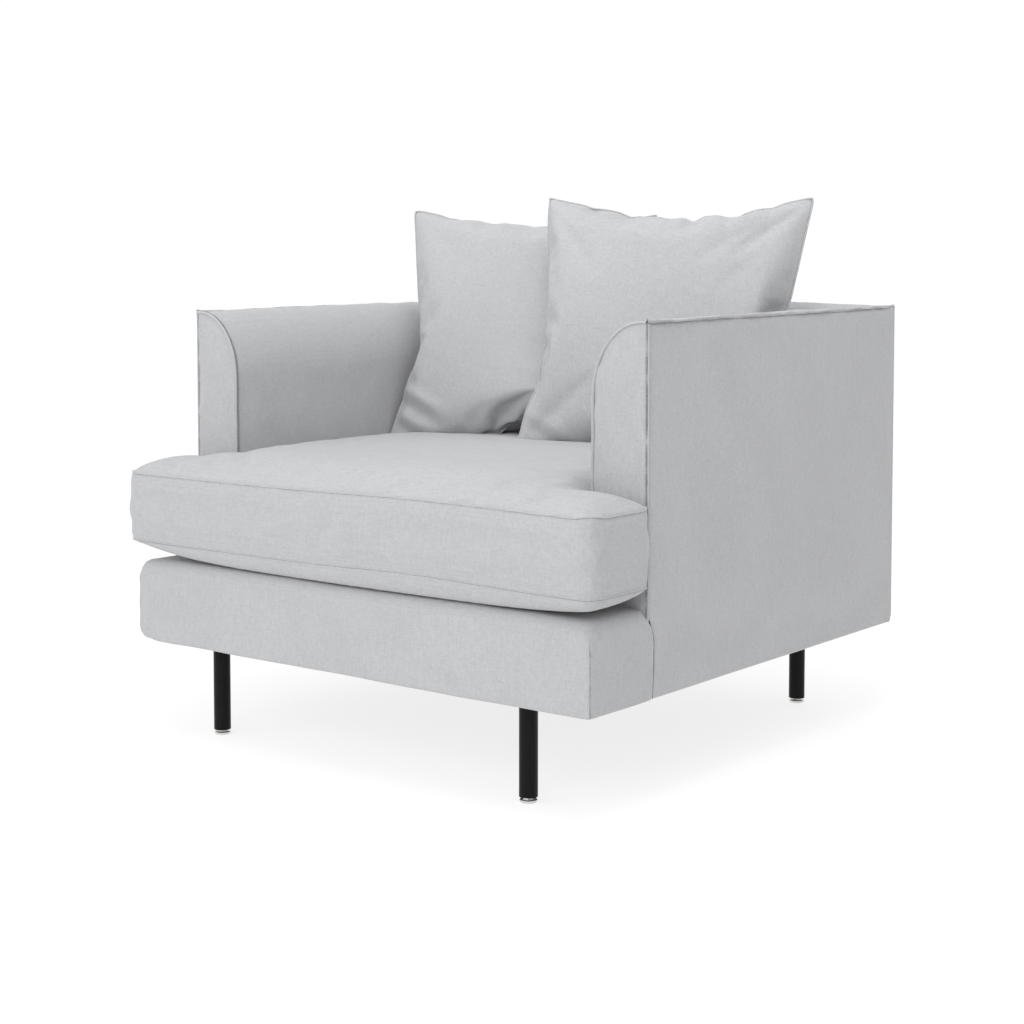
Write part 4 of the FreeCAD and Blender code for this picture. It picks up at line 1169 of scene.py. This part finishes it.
def build_pillow(side, centre, seed, pulls, fullness, puckers, folds, untwist=0.0, others=()):
    """A knife-edge feather pillow, filled by cloth simulation and leaned in its corner of the seat.

    Places on it run from -1 to 1 across and up.  pulls: how far the lower left, lower right, upper left
    and upper right corners are drawn in x and z.  fullness: swell of the left and right edges.
    puckers: place along the top seam and depth.  folds: start, end and depth.  untwist: how far the
    lower right corner is drawn forward.  others: pillows that this one stands behind."""
    pillow, rim = blank_pillow("pillow_soft_" + side, seed)
    settle_cloth(pillow, PILLOW_PRESSURE, 40, tension=15.0, bending=0.5)
    points = coordinates(pillow)
    edge = points[rim]
    ends = [0, PILLOW_CELLS, 2 * PILLOW_CELLS, 3 * PILLOW_CELLS]
    tips = edge[ends]
    points -= tips.mean(0)
    half = np.abs(tips - tips.mean(0)).mean(0)
    pulled = np.zeros_like(points)
    u = points[:, 0] / half[0]
    v = points[:, 2] / half[2]
    for i, (sx, sz) in enumerate(((-1, -1), (1, -1), (-1, 1), (1, 1))):
        share = (np.clip((1 + sx * u) / 2, 0, 1) * np.clip((1 + sz * v) / 2, 0, 1)) ** 2.2
        pulled[:, 0] += share * pulls[i][0]
        pulled[:, 2] += share * pulls[i][1]
    foot = ease(-v)
    fuller = np.where(u < 0, fullness[0], fullness[1])
    points[:, 0] = u * (1 + fuller * np.clip(1 - v * v, 0, 1)) * PILLOW_WIDTH / 2
    points[:, 2] = v * (1 + (0.025 + 0.10 * foot) * np.clip(1 - u * u, 0, 1)) * PILLOW_HEIGHT / 2
    points[:, 1] *= PILLOW_THICK / (points[:, 1].max() - points[:, 1].min())
    points += pulled
    gather = np.zeros(len(points))
    for place, depth in puckers:
        gather += depth * np.exp(-((u - place) / 0.055) ** 2)
    top_rim = np.array(rim[ends[2]:ends[3]])
    top_rim = top_rim[np.argsort(u[top_rim])]
    top_edge = np.interp(u, u[top_rim], v[top_rim])
    from_top = np.maximum(top_edge - v, 0) * PILLOW_HEIGHT / 2
    points[:, 1] -= np.sign(points[:, 1]) * gather * np.exp(-((from_top - 0.012) / 0.022) ** 2)
    points[:, 2] -= 0.6 * gather * np.exp(-from_top / 0.018)
    for start, stop, depth in folds:
        start, stop = np.array(start), np.array(stop)
        way = (stop - start) / np.linalg.norm(stop - start)
        local = np.stack([u, v], 1) - start
        run = local @ way / np.linalg.norm(stop - start)
        off = (local @ np.array([-way[1], way[0]])) / 0.045
        mask = ease(run / 0.3) * ease((1.1 - run) / 0.4) * (points[:, 1] < 0)
        points[:, 1] += depth * mask * (np.exp(-off ** 2) - 0.7 * np.exp(-(off - 1.7) ** 2))
    points[:, 1] -= untwist * ease((u + 0.3) / 1.2) * ease((-0.2 - v) / 0.8)
    lean, yaw = PILLOW_LEAN, PILLOW_YAW
    tip = np.array([[1, 0, 0], [0, math.cos(lean), math.sin(lean)], [0, -math.sin(lean), math.cos(lean)]])
    turn = np.array([[math.cos(yaw), -math.sin(yaw), 0], [math.sin(yaw), math.cos(yaw), 0], [0, 0, 1]])
    points = points @ (turn @ tip).T + np.array(centre)
    points[:, 2] = np.maximum(points[:, 2], SEAT_HIGH[2] + 0.0015)
    above = np.maximum(points[:, 2] - (TOP_BACK - 0.05), 0.0)
    reach = X_IN - 0.006 + above * 0.6
    points[:, 0] = np.clip(points[:, 0], -reach, reach)
    points[:, 1] = np.minimum(points[:, 1], Y_INSIDE - 0.006 + above)
    for other in others:
        points = push_behind(points, other, 0.0015)
    set_coordinates(pillow, points)
    crease_line(pillow, rim, ends)
    subdivide(pillow)
    finish_piece(pillow, "upholstery", side + "_pillow", "pillow_cover_" + side, "pillow_insert_" + side)
    piping = Sheets()
    path = resample(points[rim + rim[:1]], 0.004)[:-1]
    piping.add(tube(path, 0.0016, 8, closed=True), wrap=True)
    finish_piece(piping.build("pillow_seam_" + side), "upholstery", side + "_pillow")
    return pillow


# ---------------------------------------------------------------- zip
def build_zip():
    """Woven zip tape with its row of teeth on the rear boxing of the seat cushion."""
    low, high = corners("cushion_zip_tape")
    xs = np.arange(low[0], high[0] + 0.002, 0.004)
    zs = np.linspace(low[2], high[2], 7)
    grid_x, grid_z = np.meshgrid(xs, zs, indexing="ij")
    tape = Sheets()
    for face, flip in ((high[1], True), (low[1], False)):
        point = line(grid_x, face, grid_z)
        point[..., 1] -= 0.00012 * (1 + np.sin(grid_x * 1800))
        tape.add(point, flip=flip)
    finish_piece(tape.build("cushion_zip_tape_soft"), "zip_tape", "seat_cushion", "cushion_zip_tape")
    middle = (low[2] + high[2]) / 2
    teeth = Sheets()
    for row in (-0.0009, 0.0009):
        run = stitches(line(xs, high[1], middle + row), (0.0, 1.0, 0.0), (0.0022, 0.0013, 0.0006))
        for points in run.verts:
            teeth.add(points.reshape(-1, 5, 3), wrap=True)
    finish_piece(teeth.build("cushion_zip_teeth"), "zip_tape", "seat_cushion")


# ---------------------------------------------------------------- studio
def build_studio():
    """White seamless ground, white surround, soft key from the front left, and the camera."""
    sweep = Sheets()
    side = np.linspace(-GROUND_HALF, GROUND_HALF, 9)
    grid_x, grid_y = np.meshgrid(side, side, indexing="ij")
    sweep.add(line(grid_x, grid_y, -0.0004), flip=True)
    floor = sweep.build("studio_sweep")
    floor.data.materials.append(MATERIALS["ground"])

    scene = bpy.context.scene
    world = bpy.data.worlds.new("studio")
    world.use_nodes = True
    tree = world.node_tree
    where = node(tree, "ShaderNodeTexCoord").outputs["Generated"]
    split = node(tree, "ShaderNodeSeparateXYZ", Vector=where)
    horizon = between(tree, split.outputs["X"], WORLD_LIGHT[0], WORLD_LIGHT[1])
    fade = node(tree, "ShaderNodeMapRange", Value=split.outputs["Z"], From_Min=0.25, From_Max=1.0,
                To_Min=horizon, To_Max=WORLD_LIGHT[2])
    fill(tree, tree.nodes["Background"], Strength=fade.outputs["Result"], Color=(1.0, 1.0, 1.0, 1.0))
    scene.world = world
    for name, place, size, power in LAMPS:
        light = bpy.data.lights.new(name, "AREA")
        light.shape = "DISK"
        light.size = size
        light.energy = power
        lamp = bpy.data.objects.new(name, light)
        scene.collection.objects.link(lamp)
        lamp.location = place
        lamp.rotation_euler = (LAMP_AIM - Vector(place)).to_track_quat("-Z", "Y").to_euler()
    camera = bpy.data.cameras.new("camera")
    camera.lens = CAMERA_LENS
    camera.sensor_width = 36.0
    camera.shift_y = CAMERA_SHIFT
    camera.clip_end = 60.0
    eye = bpy.data.objects.new("camera", camera)
    scene.collection.objects.link(eye)
    eye.location = CAMERA_PLACE
    eye.rotation_euler = (math.pi / 2 - CAMERA_PITCH, 0.0, CAMERA_TURN)
    scene.camera = eye
    scene.view_settings.view_transform = "Standard"
    scene.view_settings.look = "None"
    scene.view_settings.exposure = 0.0
    scene.view_settings.gamma = 1.0


for name in SIDES:
    build_arm(name)
build_inside_back()
build_outside_back()
build_back_seams()
build_base()
build_base_seams()
build_deck()
build_dust_cover()
build_seat()
build_zip()
right_pillow = build_pillow(
    "right", (0.172, 0.196, 0.693), 5,
    pulls=((-0.018, 0.0), (0.0, 0.0), (0.008, 0.016), (0.015, 0.008)),
    fullness=(0.08, 0.02),
    puckers=((-0.62, 0.006), (-0.33, 0.007), (0.02, 0.006), (0.18, 0.013), (0.45, 0.006), (0.72, 0.005)),
    folds=(((-0.98, -0.80), (-0.55, -0.97), 0.006), ((0.16, 0.95), (0.10, 0.62), 0.004)),
)
build_pillow(
    "left", (-0.168, 0.207, 0.690), 9,
    pulls=((-0.006, 0.0), (0.0, 0.0), (0.015, -0.003), (-0.004, -0.011)),
    fullness=(-0.02, 0.08),
    puckers=((-0.7, 0.004), (-0.3, 0.005), (0.1, 0.004)),
    folds=(((-0.99, -0.62), (-0.50, -0.84), 0.011), ((-0.97, -0.86), (-0.62, -0.97), 0.008)),
    untwist=0.080,
    others=[right_pillow],
)
build_studio()
